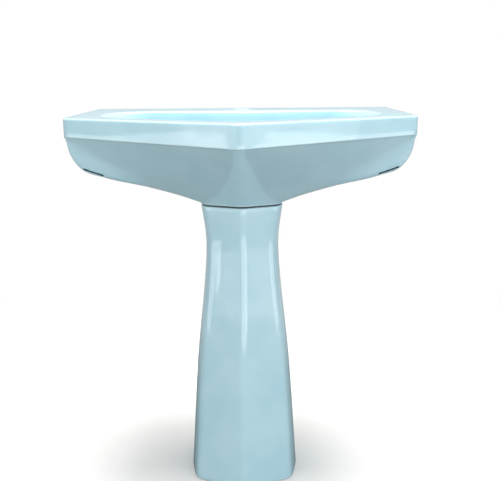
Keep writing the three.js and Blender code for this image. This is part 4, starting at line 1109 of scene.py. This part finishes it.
def pedestal_shell():
    outer, inner = pedestal_lines(0), pedestal_lines(WALL)
    edge = 3
    levels = [(edge * (1 - math.cos(turn)), edge * (1 - math.sin(turn))) for turn in [0] + quarter(4)]
    stack = [(drop, squeeze) for drop, squeeze in levels]
    steps = 60
    stack += [(edge + (PEDESTAL_HEIGHT - 2 * edge) * step / steps, 0) for step in range(steps + 1)]
    stack += [(PEDESTAL_HEIGHT - drop, squeeze) for drop, squeeze in reversed(levels)]
    rings = []
    for z, squeeze in stack:
        outside, right_end, inside, left_end = wall_ring(outer, inner, z, squeeze)
        rings.append(outside + right_end + list(reversed(inside)) + left_end)
    points, faces = skin(rings)
    count, side_count = len(rings[0]), len(outside)
    end_count = len(right_end)
    inside_faces = set(range(side_count + end_count, 2 * side_count + end_count - 1))
    finish_of = [int(i % count in inside_faces) for i in range(len(faces))]
    for base, flip in ((0, False), (len(points) - count, True)):
        cap = []
        for i in range(side_count - 1):
            j = 2 * side_count + end_count - 1 - i
            cap.append((base + i, base + j, base + j - 1, base + i + 1))
        right = tuple(base + k for k in range(side_count - 1, side_count + end_count + 1))
        left = tuple(base + k % count for k in range(2 * side_count + end_count - 1, count + 1))
        cap += [right, left]
        faces += [tuple(reversed(f)) for f in cap] if flip else cap
        finish_of += [1] * len(cap)
    return make_object("pedestal_china", points, faces, (0, 0, 0), CHINA, finish_of)


# %% [markdown]
# ## Lugs for the floor screws
# Inside the foot, two blocks of china are bedded to the side walls, each with a hole for a floor screw.
# They are joined on with a boolean union, and the holes are cut with the same flared plugs as before.

# %% Lugs and their holes
screw_middle = middle_of("floor_screw_right")
LUG_WIDTH, LUG_LENGTH, LUG_HEIGHT = 30, 34, 14
SCREW_HOLE = 9


def lug(side):
    """A block with round edges that runs into the wall."""
    inner_x, outer_x = screw_middle.x - LUG_WIDTH / 2, screw_middle.x + LUG_WIDTH / 2 + 5
    y = screw_middle.y
    rings = []
    corner_ys = (y - LUG_LENGTH / 2, y + LUG_LENGTH / 2)
    top = LUG_HEIGHT
    for z, inset in ((0.3, 1.5), (1.2, 0.3), (2.5, 0), (top - 3, 0), (top - 1, 1), (top, 3)):
        corners = [
            (Vector((inner_x + inset, corner_ys[0] + inset, z)), 5),
            (Vector((outer_x, corner_ys[0] + inset, z)), 1),
            (Vector((outer_x, corner_ys[1] - inset, z)), 1),
            (Vector((inner_x + inset, corner_ys[1] - inset, z)), 5),
        ]
        rings.append(ring_of(corners, [4, 4, 4, 4]))
    points, faces = skin(rings)
    count = len(rings[0])
    faces += [tuple(reversed(range(count))), tuple(range(len(points) - count, len(points)))]
    points = [Vector((side * p.x, p.y, p.z)) for p in points]
    return make_object("lug", points, faces, (0, 0, 0), CHINA, [1] * len(faces))


def screw_hole(side):
    outline = flared(SCREW_HOLE / 2, 0.3, LUG_HEIGHT, 0, 1.2)
    return china_spun("screw_hole", outline, (side * screw_middle.x, screw_middle.y, 0), steps=40)


pedestal = pedestal_shell()
pedestal = combined(pedestal, joined("lugs", [lug(-1), lug(1)]), "UNION")
pedestal = combined(pedestal, joined("screw_holes", [screw_hole(-1), screw_hole(1)]), "DIFFERENCE")
china_fitted(pedestal, "pedestal")
print("pedestal:", len(pedestal.data.polygons), "faces")


# %% [markdown]
# ## The cushion between pedestal and basin
# The basin isn't glued down. It rests on a strip of rubber that lies on the pedestal's head and takes up
# what the two castings warped in the kiln. The strip follows the wall round, so it is drawn between
# two copies of the wall's line, with a section whose corners bulge as squeezed rubber does.

# %% Rubber cushion
def cushion_strip():
    low, high = ends_of("seat_cushion")
    outer, inner = [u_path(pedestal_lines(inset), PEDESTAL_HEIGHT) for inset in (2, 8)]
    rings = []
    for p, q in zip(outer, inner):
        if max(p.y, q.y) > high.y:
            continue
        ring = []
        for step in range(16):
            angle = 2 * math.pi * step / 16
            across, up = math.cos(angle), math.sin(angle)
            across = math.copysign(abs(across) ** 0.6, across)
            up = math.copysign(abs(up) ** 0.5, up)
            spot = p.lerp(q, 0.5 - 0.5 * across)
            ring.append(Vector((spot.x, spot.y, (low.z + high.z) / 2 + up * (high.z - low.z) / 2)))
        rings.append(ring)
    points, faces = skin(rings)
    faces += [tuple(reversed(range(16))), tuple(range(len(points) - 16, len(points)))]
    return make_object("cushion_strip", points, faces)


fitted(cushion_strip(), "sink", "seat_cushion", RUBBER)


# %% [markdown]
# ## Screw threads and grips
# A thread is a groove that climbs as it goes round, so the radius depends on both the height and the
# angle. A hand grip is simpler: shallow flutes, the same at every height. A hexagon nut is turned from
# a bar whose radius changes with the angle, and the corners of its faces are turned off at a slant.

# %% Wavers, and nuts
def thread(outer, pitch, depth, low, high):
    def waver(angle, radius, height):
        if abs(radius - outer) > 0.01 or not low < height < high:
            return radius
        turn = (height / pitch - angle / (2 * math.pi)) % 1.0
        fade = min((height - low) / pitch, (high - height) / pitch, 1.0)
        return radius - depth * fade * (1 - abs(2 * turn - 1))

    return waver


def threaded_stretch(radius, low, high, pitch):
    """Outline points close enough together to carry a thread."""
    count = max(2, round((high - low) / pitch * 5))
    return [(radius, low + (high - low) * step / count, 0) for step in range(count + 1)]


def flutes(count, depth, inner, outer):
    def waver(angle, radius, height):
        share = min(max((radius - inner) / (outer - inner), 0.0), 1.0)
        return radius - depth * share * (0.5 + 0.5 * math.cos(count * angle)) ** 2

    return waver


def hex_nut(name, node_name, flats, hole, turn=UPRIGHT):
    low, high = ends_of(node_name)
    middle = (low + high) / 2
    height = high.z - low.z if turn is UPRIGHT else high.y - low.y
    half, slant = height / 2, math.tan(math.radians(28))
    round_off = 0.485 * flats
    rings = []
    steps = 96
    for step in range(steps):
        angle = 2 * math.pi * step / steps
        edge = flats / 2 / math.cos(angle % (math.pi / 3) - math.pi / 6)
        drop = (edge - round_off) * slant
        outline = [
            (hole, -half + 0.8), (hole + 0.8, -half), (round_off - 0.6, -half), (round_off, -half + 0.1),
            (edge, -half + drop), (edge, 0), (edge, half - drop), (round_off, half - 0.1),
            (round_off - 0.6, half), (hole + 0.8, half), (hole, half - 0.8),
        ]
        rings.append([turn @ Vector((r * math.cos(angle), r * math.sin(angle), z)) for r, z in outline])
    points, faces = skin(rings, round_again=True)
    return make_object(name, points, faces, middle)


# %% [markdown]
# ## The waste and its plug
# The waste is one long turned piece: a thin flange that beds in the bowl, a conical mouth that the plug
# seals on, a cross that stops rings and spoons, and a threaded tail that comes out under the basin. The
# overflow's water joins it through a slot in the tail. The plug is a rubber ring between two turned
# discs, with a knob to pull it up by.

# %% Bars and rings
def bar(name, size, middle, corner=0.4):
    """A block with eased upright edges, made of rings."""
    x, y, z = (side / 2 for side in size)
    corners = [(Vector((sx * x, sy * y, 0)), corner) for sx, sy in ((-1, -1), (1, -1), (1, 1), (-1, 1))]
    rings = []
    for height, inset in ((-z, 0.3), (-z + 0.3, 0), (z - 0.3, 0), (z, 0.3)):
        small = [(Vector((p.x - math.copysign(inset, p.x), p.y - math.copysign(inset, p.y), height)), cut)
                 for p, cut in corners]
        rings.append(ring_of(small, [2, 2, 2, 2]))
    points, faces = skin(rings)
    count = len(rings[0])
    faces += [tuple(reversed(range(count))), tuple(range(len(points) - count, len(points)))]
    return make_object(name, points, faces, middle)


def ring_piece(name, node_name, hole, ease=0.3, turn=UPRIGHT):
    """A washer: its outer radius and thickness come from the measured node."""
    low, high = ends_of(node_name)
    across = (high.x - low.x) / 2
    half = (high.z - low.z) / 2 if turn is UPRIGHT else (high.y - low.y) / 2
    outline = eased([(hole, -half), (across, -half), (across, half), (hole, half)], min(ease, half))
    return spun(name, outline, (low + high) / 2, turn)


# %% Waste fitting
waste_low, waste_high = ends_of("waste_body")
FLANGE_RADIUS = (waste_high.x - waste_low.x) / 2
TAIL_RADIUS, TAIL_BORE = 20.9, 16.0
TAIL_LENGTH = waste_high.z - waste_low.z
MOUTH_RADIUS, MOUTH_DEPTH = 21.5, 10.4
PIPE_THREAD_PITCH = 25.4 / 11


def waste_fitting():
    outline = [
        (TAIL_BORE, -TAIL_LENGTH, 0.5),
        (TAIL_RADIUS - 0.8, -TAIL_LENGTH, 0.4),
        *threaded_stretch(TAIL_RADIUS, -TAIL_LENGTH + 1, -18, PIPE_THREAD_PITCH),
        (TAIL_RADIUS, -2.4, 0.5),
        (FLANGE_RADIUS, -2.4, 0.3),
        (FLANGE_RADIUS, -1.5, 0.6),
        (FLANGE_RADIUS - 4.5, -0.3, 2.5),
        (MOUTH_RADIUS + 1.5, 0, 1.0),
        (MOUTH_RADIUS, -0.3, 0.7),
        (TAIL_BORE, -MOUTH_DEPTH, 1.5),
    ]
    waver = thread(TAIL_RADIUS, PIPE_THREAD_PITCH, 1.3, -TAIL_LENGTH + 1, -18)
    origin = (waste_middle.x, waste_middle.y, waste_high.z)
    made = spun("waste_fitting", eased(outline), origin, waver=waver)
    cross_z = waste_high.z - 2 * MOUTH_DEPTH
    reach = 2 * TAIL_BORE + 2
    for size in ((reach, 3, 3), (3, reach, 3.1)):
        made = combined(made, bar("cross", size, (waste_middle.x, waste_middle.y, cross_z)), "UNION")
    slot_middle = (waste_middle.x, waste_middle.y + TAIL_RADIUS, waste_high.z - CHANNEL_DROP)
    slot = bar("tail_slot", (CHANNEL_WIDTH / 2, TAIL_RADIUS, CHANNEL_THICKNESS), slot_middle, 2.5)
    return combined(made, slot, "DIFFERENCE")


fitted(waste_fitting(), "sink", "waste_body", CHROME)
fitted(ring_piece("flange_bedding", "waste_flange_seal", 21.2, 0.5), "sink", "waste_flange_seal", RUBBER)
fitted(ring_piece("waste_washer", "waste_lower_washer", 21.2, 0.8), "sink", "waste_lower_washer", RUBBER)
fitted(hex_nut("waste_nut", "waste_backnut", 58, 21.2), "sink", "waste_backnut", BRASS)


# %% Plug
def mouth_radius(below):
    """Radius of the waste's cone at a distance below its top."""
    return MOUTH_RADIUS + (TAIL_BORE - MOUTH_RADIUS) * below / MOUTH_DEPTH


def plug_ring():
    low, high = ends_of("plug_seal")
    top, bottom = mouth_radius(waste_high.z - high.z) - 0.4, mouth_radius(waste_high.z - low.z) - 0.4
    height = high.z - low.z
    outline = [(14.3, 0), (bottom - 0.3, 0)]
    for share in (0.15, 0.5, 0.85):
        radius = bottom + (top - bottom) * share
        outline += [(radius, height * share, 0.5), (radius - 0.25, height * (share + 0.09), 0.2)]
    outline += [(top - 0.2, height), (14.3, height)]
    return spun("plug_ring", eased(outline, 0.3), (waste_middle.x, waste_middle.y, low.z))


def plug_discs():
    low, high = ends_of("plug_body")
    seal_low, seal_high = ends_of("plug_seal")[0].z - low.z, ends_of("plug_seal")[1].z - low.z
    top = high.z - low.z
    disc, foot = (high.x - low.x) / 2, mouth_radius(waste_high.z - low.z) - 1
    outline = [
        (0, 0), (foot - 1.2, 0, 0.8), (foot, 1.4, 0.8),
        (foot, seal_low - 0.3, 0.4), (14, seal_low - 0.3, 0.2),
        (14, seal_high + 0.3, 0.2), (disc, seal_high + 0.3, 0.4), (disc, seal_high + 1.6, 0.9),
        (0.72 * disc, top - 0.25, 3), (0.4 * disc, top, 2), (0, top),
    ]
    return spun("plug_discs", eased(outline), (waste_middle.x, waste_middle.y, low.z))


def plug_pull():
    low, high = ends_of("plug_knob")
    radius, height = (high.x - low.x) / 2, high.z - low.z
    shares = [
        (0, 0), (0.78, 0), (0.74, 0.07), (0.44, 0.2), (0.38, 0.36), (0.46, 0.48), (0.86, 0.6), (1.0, 0.7),
        (1.0, 0.84), (0.9, 0.94), (0.62, 0.985), (0, 1.0),
    ]
    outline = [(radius * r, height * z, 0.9) for r, z in shares]
    return spun("plug_pull", eased(outline), (waste_middle.x, waste_middle.y, low.z))


fitted(plug_ring(), "plug", "plug_seal", RUBBER)
fitted(plug_discs(), "plug", "plug_body", CHROME)
fitted(plug_pull(), "plug", "plug_knob", CHROME)


# %% [markdown]
# ## The bottle trap
# The trap holds a plug of water that keeps the drain's air out. Its pipe dips into a bottle, the water
# leaves at the side above the pipe's end, and the cup below unscrews to be cleaned. All of it is turned
# and drawn brass under chrome. The nuts and the cup are tightened by hand, so they have flutes.

# %% Slip nuts and their washers
PIPE_RADIUS, PIPE_BORE, PIPE_HOLE = 16.0, 14.0, 16.3


def slip_nut(name, node_name, thread_radius, turn=UPRIGHT):
    """A cup-shaped nut. Its lip is at its low end, or at its far end when it faces the wall."""
    low, high = ends_of(node_name)
    outer = (high.x - low.x) / 2
    length = high.z - low.z if turn is UPRIGHT else high.y - low.y
    lip = 2.7
    outline = [
        (PIPE_HOLE, 0), (outer - 3, 0, 1), (outer - 0.9, 1.3, 1), (outer - 0.9, 3.2, 0.3), (outer, 3.8, 0.5),
        (outer, length - 2.4, 0.6), (outer - 0.9, length - 1.9, 0.3), (outer - 0.9, length - 0.6, 0.5),
        (outer - 1.5, length, 0.4), (thread_radius, length, 0.6), (thread_radius, lip, 0.4), (PIPE_HOLE, lip),
    ]
    middle = (low + high) / 2
    if turn is UPRIGHT:
        origin = (middle.x, middle.y, low.z)
    else:
        origin = (middle.x, high.y, middle.z)
        turn = Matrix.Rotation(math.radians(90), 3, "X")
    return spun(name, eased(outline), origin, turn, 240, flutes(30, 0.9, outer - 1.0, outer))


fitted(slip_nut("inlet_nut", "trap_inlet_nut", 21.2), "sink", "trap_inlet_nut", CHROME)
fitted(ring_piece("inlet_washer", "trap_inlet_washer", 16.0), "sink", "trap_inlet_washer", RUBBER)
fitted(slip_nut("outlet_nut", "trap_outlet_nut", 20.8, TO_THE_WALL), "sink", "trap_outlet_nut", CHROME)
outlet_washer = ring_piece("outlet_washer", "trap_outlet_washer", PIPE_HOLE, turn=TO_THE_WALL)
fitted(outlet_washer, "sink", "trap_outlet_washer", RUBBER)


# %% Bottle and its cup
trap_low, trap_high = ends_of("trap_body")
cup_low, cup_high = ends_of("trap_cup")
tube_low, tube_high = ends_of("outlet_tube")
OUTLET_Z = (tube_low.z + tube_high.z) / 2
BOTTLE_RADIUS, BOTTLE_WALL = 33.0, 2.5


def bottle():
    top, shoulder = -26.6, -33.0
    low = trap_low.z - trap_high.z
    inner = BOTTLE_RADIUS - BOTTLE_WALL
    outline = [
        (PIPE_BORE, 0), (20.4, 0, 0.4), (20.4, -2, 0.4), (PIPE_RADIUS, -2, 0.8), (PIPE_RADIUS, top, 3),
        (BOTTLE_RADIUS - 2.5, top - 2.4, 5), (BOTTLE_RADIUS, shoulder, 3),
        (BOTTLE_RADIUS, cup_low.z - trap_high.z + 38),
        (inner, cup_low.z - trap_high.z + 38), (inner, shoulder - 2, 4), (PIPE_RADIUS, top - 4, 2),
        (PIPE_RADIUS, low, 0.4), (PIPE_BORE, low, 0.4),
    ]
    origin = (waste_middle.x, waste_middle.y, trap_high.z)
    made = spun("trap_bottle", eased(list(reversed(outline))), origin)
    start, end = waste_middle.y + inner - 0.6, trap_high.y
    length = end - start
    spigot = [(0, 0), (23.5, 0, 0), (22.5, 4.2, 2), (20.5, 6.2, 1.5), (20.5, length, 0.5), (0, length)]
    stub = spun("spigot", eased(spigot), (waste_middle.x, start, OUTLET_Z), TO_THE_WALL)
    made = combined(made, stub, "UNION")
    bore = [(0, -4), (PIPE_HOLE, -4, 0), (PIPE_HOLE, length + 4, 0), (0, length + 4)]
    drill = spun("bore", eased(bore), (waste_middle.x, start, OUTLET_Z), TO_THE_WALL)
    return combined(made, drill, "DIFFERENCE")


def cup():
    outer, height = (cup_high.x - cup_low.x) / 2, cup_high.z - cup_low.z
    inner = BOTTLE_RADIUS - BOTTLE_WALL
    outline = [
        (0, 0), (6.5, 0, 0.6), (8, 1.6, 1), (0.5 * outer, 2.2, 3), (0.86 * outer, 0.16 * height, 9),
        (0.955 * outer, 0.42 * height, 6), (0.955 * outer, 0.60 * height, 0.6),
        (outer - 0.3, 0.63 * height, 0.6),
        (outer, 0.66 * height, 0.4), (outer, height - 2.6, 0.5), (outer - 1, height - 1.8, 0.4),
        (outer - 1, height, 0.5), (BOTTLE_RADIUS + 0.3, height, 0.4), (BOTTLE_RADIUS + 0.3, height - 10.4),
        (inner, height - 10.4, 0.3), (inner, 0.34 * height, 8), (0.5 * outer, 4.4, 6), (0, 4),
    ]
    origin = (waste_middle.x, waste_middle.y, cup_low.z)
    grip = flutes(40, 1.0, outer - 1.2, outer)
    return spun("trap_bottle_cup", eased(outline), origin, steps=240, waver=grip)


fitted(bottle(), "sink", "trap_body", CHROME)
fitted(cup(), "sink", "trap_cup", CHROME)
fitted(ring_piece("cup_washer", "trap_cup_seal", 30.8), "sink", "trap_cup_seal", RUBBER)


# %% Outlet tube and the plate on the wall
def drawn_tube():
    length = tube_high.y - tube_low.y
    outline = [(PIPE_BORE, 0), (PIPE_RADIUS, 0), (PIPE_RADIUS, length), (PIPE_BORE, length)]
    return spun("drawn_tube", eased(outline, 0.35), (waste_middle.x, tube_low.y, OUTLET_Z), TO_THE_WALL)


def wall_plate():
    low, high = ends_of("wall_flange")
    outer, height = (high.x - low.x) / 2, high.y - low.y
    outline = [
        (outer, 0, 0.3), (outer, -1.4, 0.7), (outer - 3, -1.9, 2), (0.82 * outer, -0.5 * height, 4),
        (PIPE_HOLE + 3.5, -height + 0.6, 2), (PIPE_HOLE + 1.4, -height, 0.8), (PIPE_HOLE, -height, 0.3),
        (PIPE_HOLE, -height + 1.6, 0.3), (PIPE_HOLE + 2, -height + 1.8, 1),
        (0.8 * outer, -0.5 * height + 1.4, 4),
        (outer - 3.5, -0.6, 1), (outer - 1.4, 0, 0.3),
    ]
    return spun("wall_plate", eased(outline), (waste_middle.x, high.y, OUTLET_Z), TO_THE_WALL)


fitted(drawn_tube(), "sink", "outlet_tube", CHROME)
fitted(wall_plate(), "sink", "wall_flange", CHROME)


# %% [markdown]
# ## Fixings
# Two threaded studs hold the basin to the wall. A nylon bush keeps each off the china, because a nut
# tightened on bare china cracks it. The foot has a screw in each lug, on a nylon washer and under a
# snap-on cap. Left and right are the same, so one loop makes both.

# %% Studs, bushes and nuts
STUD_PITCH = 1.5


def wall_stud(end):
    low, high = ends_of(f"wall_stud_{end}")
    radius, length = (high.x - low.x) / 2, high.y - low.y
    outline = [
        (0, 0), (radius - 0.9, 0, 0.2),
        *threaded_stretch(radius, 0.9, length - 0.9, STUD_PITCH),
        (radius - 0.9, length, 0.2), (0, length),
    ]
    middle = (low + high) / 2
    waver = thread(radius, STUD_PITCH, 0.85, 0.9, length - 0.9)
    return spun(f"threaded_stud_{end}", eased(outline), (middle.x, low.y, middle.z), TO_THE_WALL, 48, waver)


def wall_bush(end):
    low, high = ends_of(f"stud_bush_{end}")
    middle, length = (low + high) / 2, high.y - low.y
    collar = (high.x - low.x) / 2
    outline = [
        (5.3, 0, 0.4), (collar - 0.4, 0, 0.5), (collar, 0.8, 0.5), (collar, 3, 0.4),
        (6.9, 3, 0.5), (6.9, length - 1, 0.3),
        (6.4, length, 0.2), (5.3, length, 0.3),
    ]
    return spun(f"wall_bush_{end}", eased(outline), (middle.x, low.y, middle.z), TO_THE_WALL, 72)


for end in ("left", "right"):
    fitted(wall_stud(end), "sink", f"wall_stud_{end}", ZINC)
    fitted(wall_bush(end), "sink", f"stud_bush_{end}", NYLON)
    nut = hex_nut(f"wall_nut_{end}", f"stud_nut_{end}", 17, 5.3, TO_THE_WALL)
    fitted(nut, "sink", f"stud_nut_{end}", ZINC)


# %% Floor screws, washers and caps
SCREW_PITCH = 3.0


def foot_screw(end):
    low, high = ends_of(f"floor_screw_{end}")
    middle = (low + high) / 2
    head, height = (high.x - low.x) / 2, high.z - low.z
    under = height - 4.5
    outline = [
        (0, 0), (3.0, 0, 0.3),
        *threaded_stretch(3.5, 0.5, under - 2, SCREW_PITCH),
        (3.5, under, 0.3), (head, under, 0.3), (head, under + 1.2, 0.8), (0.75 * head, height - 0.8, 2),
        (0.4 * head, height, 1.5), (0, height),
    ]
    waver = thread(3.5, SCREW_PITCH, 0.9, 0.5, under - 2)
    made = spun(f"foot_screw_{end}", eased(outline), (middle.x, middle.y, low.z), UPRIGHT, 48, waver)
    slot = bar("driver_slot", (2.2 * head, 1.4, 3.4), (middle.x, middle.y, high.z))
    return combined(made, slot, "DIFFERENCE")


def foot_cap(end):
    low, high = ends_of(f"screw_cap_{end}")
    middle, height = (low + high) / 2, high.z - low.z
    outer = (high.x - low.x) / 2
    inner = outer - 1.8
    outline = [
        (inner, 0, 0.3), (outer, 0, 0.4), (outer, 1.2, 0.2), (outer - 0.35, 1.4, 0.2),
        (outer - 0.35, height - 3.2, 2.4),
        (0.78 * outer, height - 0.7, 4), (0.4 * outer, height, 3), (0, height), (0, height - 1.8),
        (0.7 * inner, height - 2.3, 3), (inner, height - 4, 1.5),
    ]
    return spun(f"foot_cap_{end}", eased(outline), (middle.x, middle.y, low.z), UPRIGHT, 72)


for end in ("left", "right"):
    fitted(foot_screw(end), "sink", f"floor_screw_{end}", ZINC)
    washer = ring_piece(f"foot_washer_{end}", f"screw_washer_{end}", 3.8, 0.5)
    fitted(washer, "sink", f"screw_washer_{end}", NYLON)
    fitted(foot_cap(end), "sink", f"screw_cap_{end}", NYLON)


# %% [markdown]
# ## The studio
# Glaze mirrors all that stands round it. A broad skylight bleaches the deck, and soft windows in front
# light the facets, the right-hand ones more. The floor is pale to the camera, and far off it glows white:
# a painted glow. Lights and reflections see a darker copy of the floor, dark close by: painted shade, so
# that the hull over the neck is darker than the band.

# %% Floor
def floor_with_painted_light():
    half = 6000
    corners = [(-half, -half, -0.5), (half, -half, -0.5), (half, half, -0.5), (-half, half, -0.5)]
    finish, tree, shader, place = new_finish("studio_floor_painted_glow_and_shade", Metallic=0.0, Roughness=0.7)
    tone = ramp(tree, cloud(tree, place, 400), 0.3, 0.7)
    looked_at = add(tree, "ShaderNodeLightPath").outputs["Is Camera Ray"]
    paint = mixed(tree, tone, linear("#efeeec"), linear("#ebeae8"))
    reach = add(tree, "ShaderNodeVectorMath", {"operation": "LENGTH"}, {0: place}).outputs["Value"]
    # Lights and reflections see a darker copy of the floor, dark grey near the foot and mid grey further out:
    # painted shade in the glaze's reflections and in the light bounced up to the hull.
    painted_shade_copy = mixed(tree, ramp(tree, reach, 0.5, 1.6), linear("#4c4947"), linear("#a5a19e"))
    tree.links.new(mixed(tree, looked_at, painted_shade_copy, paint), shader.inputs["Base Color"])
    # To the camera alone the floor glows white from 0.35 m out to 1.6 m: a painted glow, not a lamp, that
    # hides the horizon.
    fade = sums(tree, "MULTIPLY", ramp(tree, reach, 0.35, 1.6), looked_at)
    white = add(tree, "ShaderNodeEmission", feeds={"Color": linear("#ffffff"), "Strength": 1.0})
    both = add(tree, "ShaderNodeMixShader", feeds={"Fac": fade})
    tree.links.new(shader.outputs["BSDF"], both.inputs[1])
    tree.links.new(white.outputs["Emission"], both.inputs[2])
    sheet = next(node for node in tree.nodes if node.type == "OUTPUT_MATERIAL")
    tree.links.new(both.outputs["Shader"], sheet.inputs["Surface"])
    floor = make_object("studio_floor", corners, [(0, 1, 2, 3)], finishes=[finish])
    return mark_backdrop(floor)


floor_with_painted_light()


# %% Room and lights
def white_room():
    """White to look at, with the light that it sends out turned down, and darker low down."""
    room = bpy.data.worlds.new("white_room")
    bpy.context.scene.world = room
    room.use_nodes = True
    tree = room.node_tree
    tree.nodes.clear()
    direction = add(tree, "ShaderNodeTexCoord").outputs["Generated"]
    height = add(tree, "ShaderNodeSeparateXYZ", feeds={"Vector": direction}).outputs["Z"]
    colour = mixed(tree, ramp(tree, height, -0.2, 0.25), linear("#b4b0ad"), linear("#ffffff"))
    lit = add(tree, "ShaderNodeBackground", feeds={"Color": colour, "Strength": 0.62})
    seen = add(tree, "ShaderNodeBackground", feeds={"Color": linear("#ffffff"), "Strength": 1.0})
    looked_at = add(tree, "ShaderNodeLightPath").outputs["Is Camera Ray"]
    both = add(tree, "ShaderNodeMixShader", feeds={"Fac": looked_at})
    tree.links.new(lit.outputs["Background"], both.inputs[1])
    tree.links.new(seen.outputs["Background"], both.inputs[2])
    add(tree, "ShaderNodeOutputWorld", feeds={"Surface": both.outputs["Shader"]})


def soft_light(name, place, aim, size, power):
    lamp = bpy.data.lights.new(name, "AREA")
    lamp.shape = "RECTANGLE"
    lamp.size, lamp.size_y = size
    lamp.energy = power
    light = bpy.data.objects.new(name, lamp)
    light.location = place
    light.rotation_euler = (Vector(aim) - Vector(place)).to_track_quat("-Z", "Y").to_euler()
    bpy.context.scene.collection.objects.link(light)


white_room()
soft_light("skylight", (0.1, 0.1, 2.9), (0, 0.1, 0.7), (2.0, 1.6), 130)
soft_light("window_right", (2.0, -2.1, 0.6), (0, 0, 0.25), (2.4, 2.0), 25)
soft_light("window_left", (-1.9, -2.3, 0.55), (0, 0, 0.2), (2.2, 1.8), 21)
soft_light("low_front", (0.5, -2.0, 0.2), (0, 0, 0.05), (1.8, 0.6), 13)
soft_light("low_left", (-2.2, -0.7, 0.2), (-0.3, -0.1, 0.7), (1.6, 0.8), 12)
soft_light("low_right", (2.2, -0.7, 0.2), (0.3, -0.1, 0.7), (1.6, 0.8), 12)


# %% [markdown]
# ## The camera
# The camera stands at chest height, a little over a metre in front of the prow, and looks down by
# almost 14 degrees. A lens of 50 mm on a 36 mm wide sensor shows the rim and the foot together.

# %% Camera
def camera():
    lens = bpy.data.cameras.new("camera")
    lens.sensor_width, lens.lens = 36, 50.4
    view = bpy.data.objects.new("camera", lens)
    view.location = (0.0231, -1.4434, 0.8849)
    down, turn, roll = math.radians(13.58), math.radians(0.25), math.radians(-0.45)
    view.matrix_world = (
        Matrix.Translation(view.location)
        @ Matrix.Rotation(turn, 4, "Z")
        @ Matrix.Rotation(math.pi / 2 - down, 4, "X")
        @ Matrix.Rotation(roll, 4, "Z")
    )
    bpy.context.scene.collection.objects.link(view)
    bpy.context.scene.camera = view


camera()
bpy.context.scene.view_settings.view_transform = "Standard"
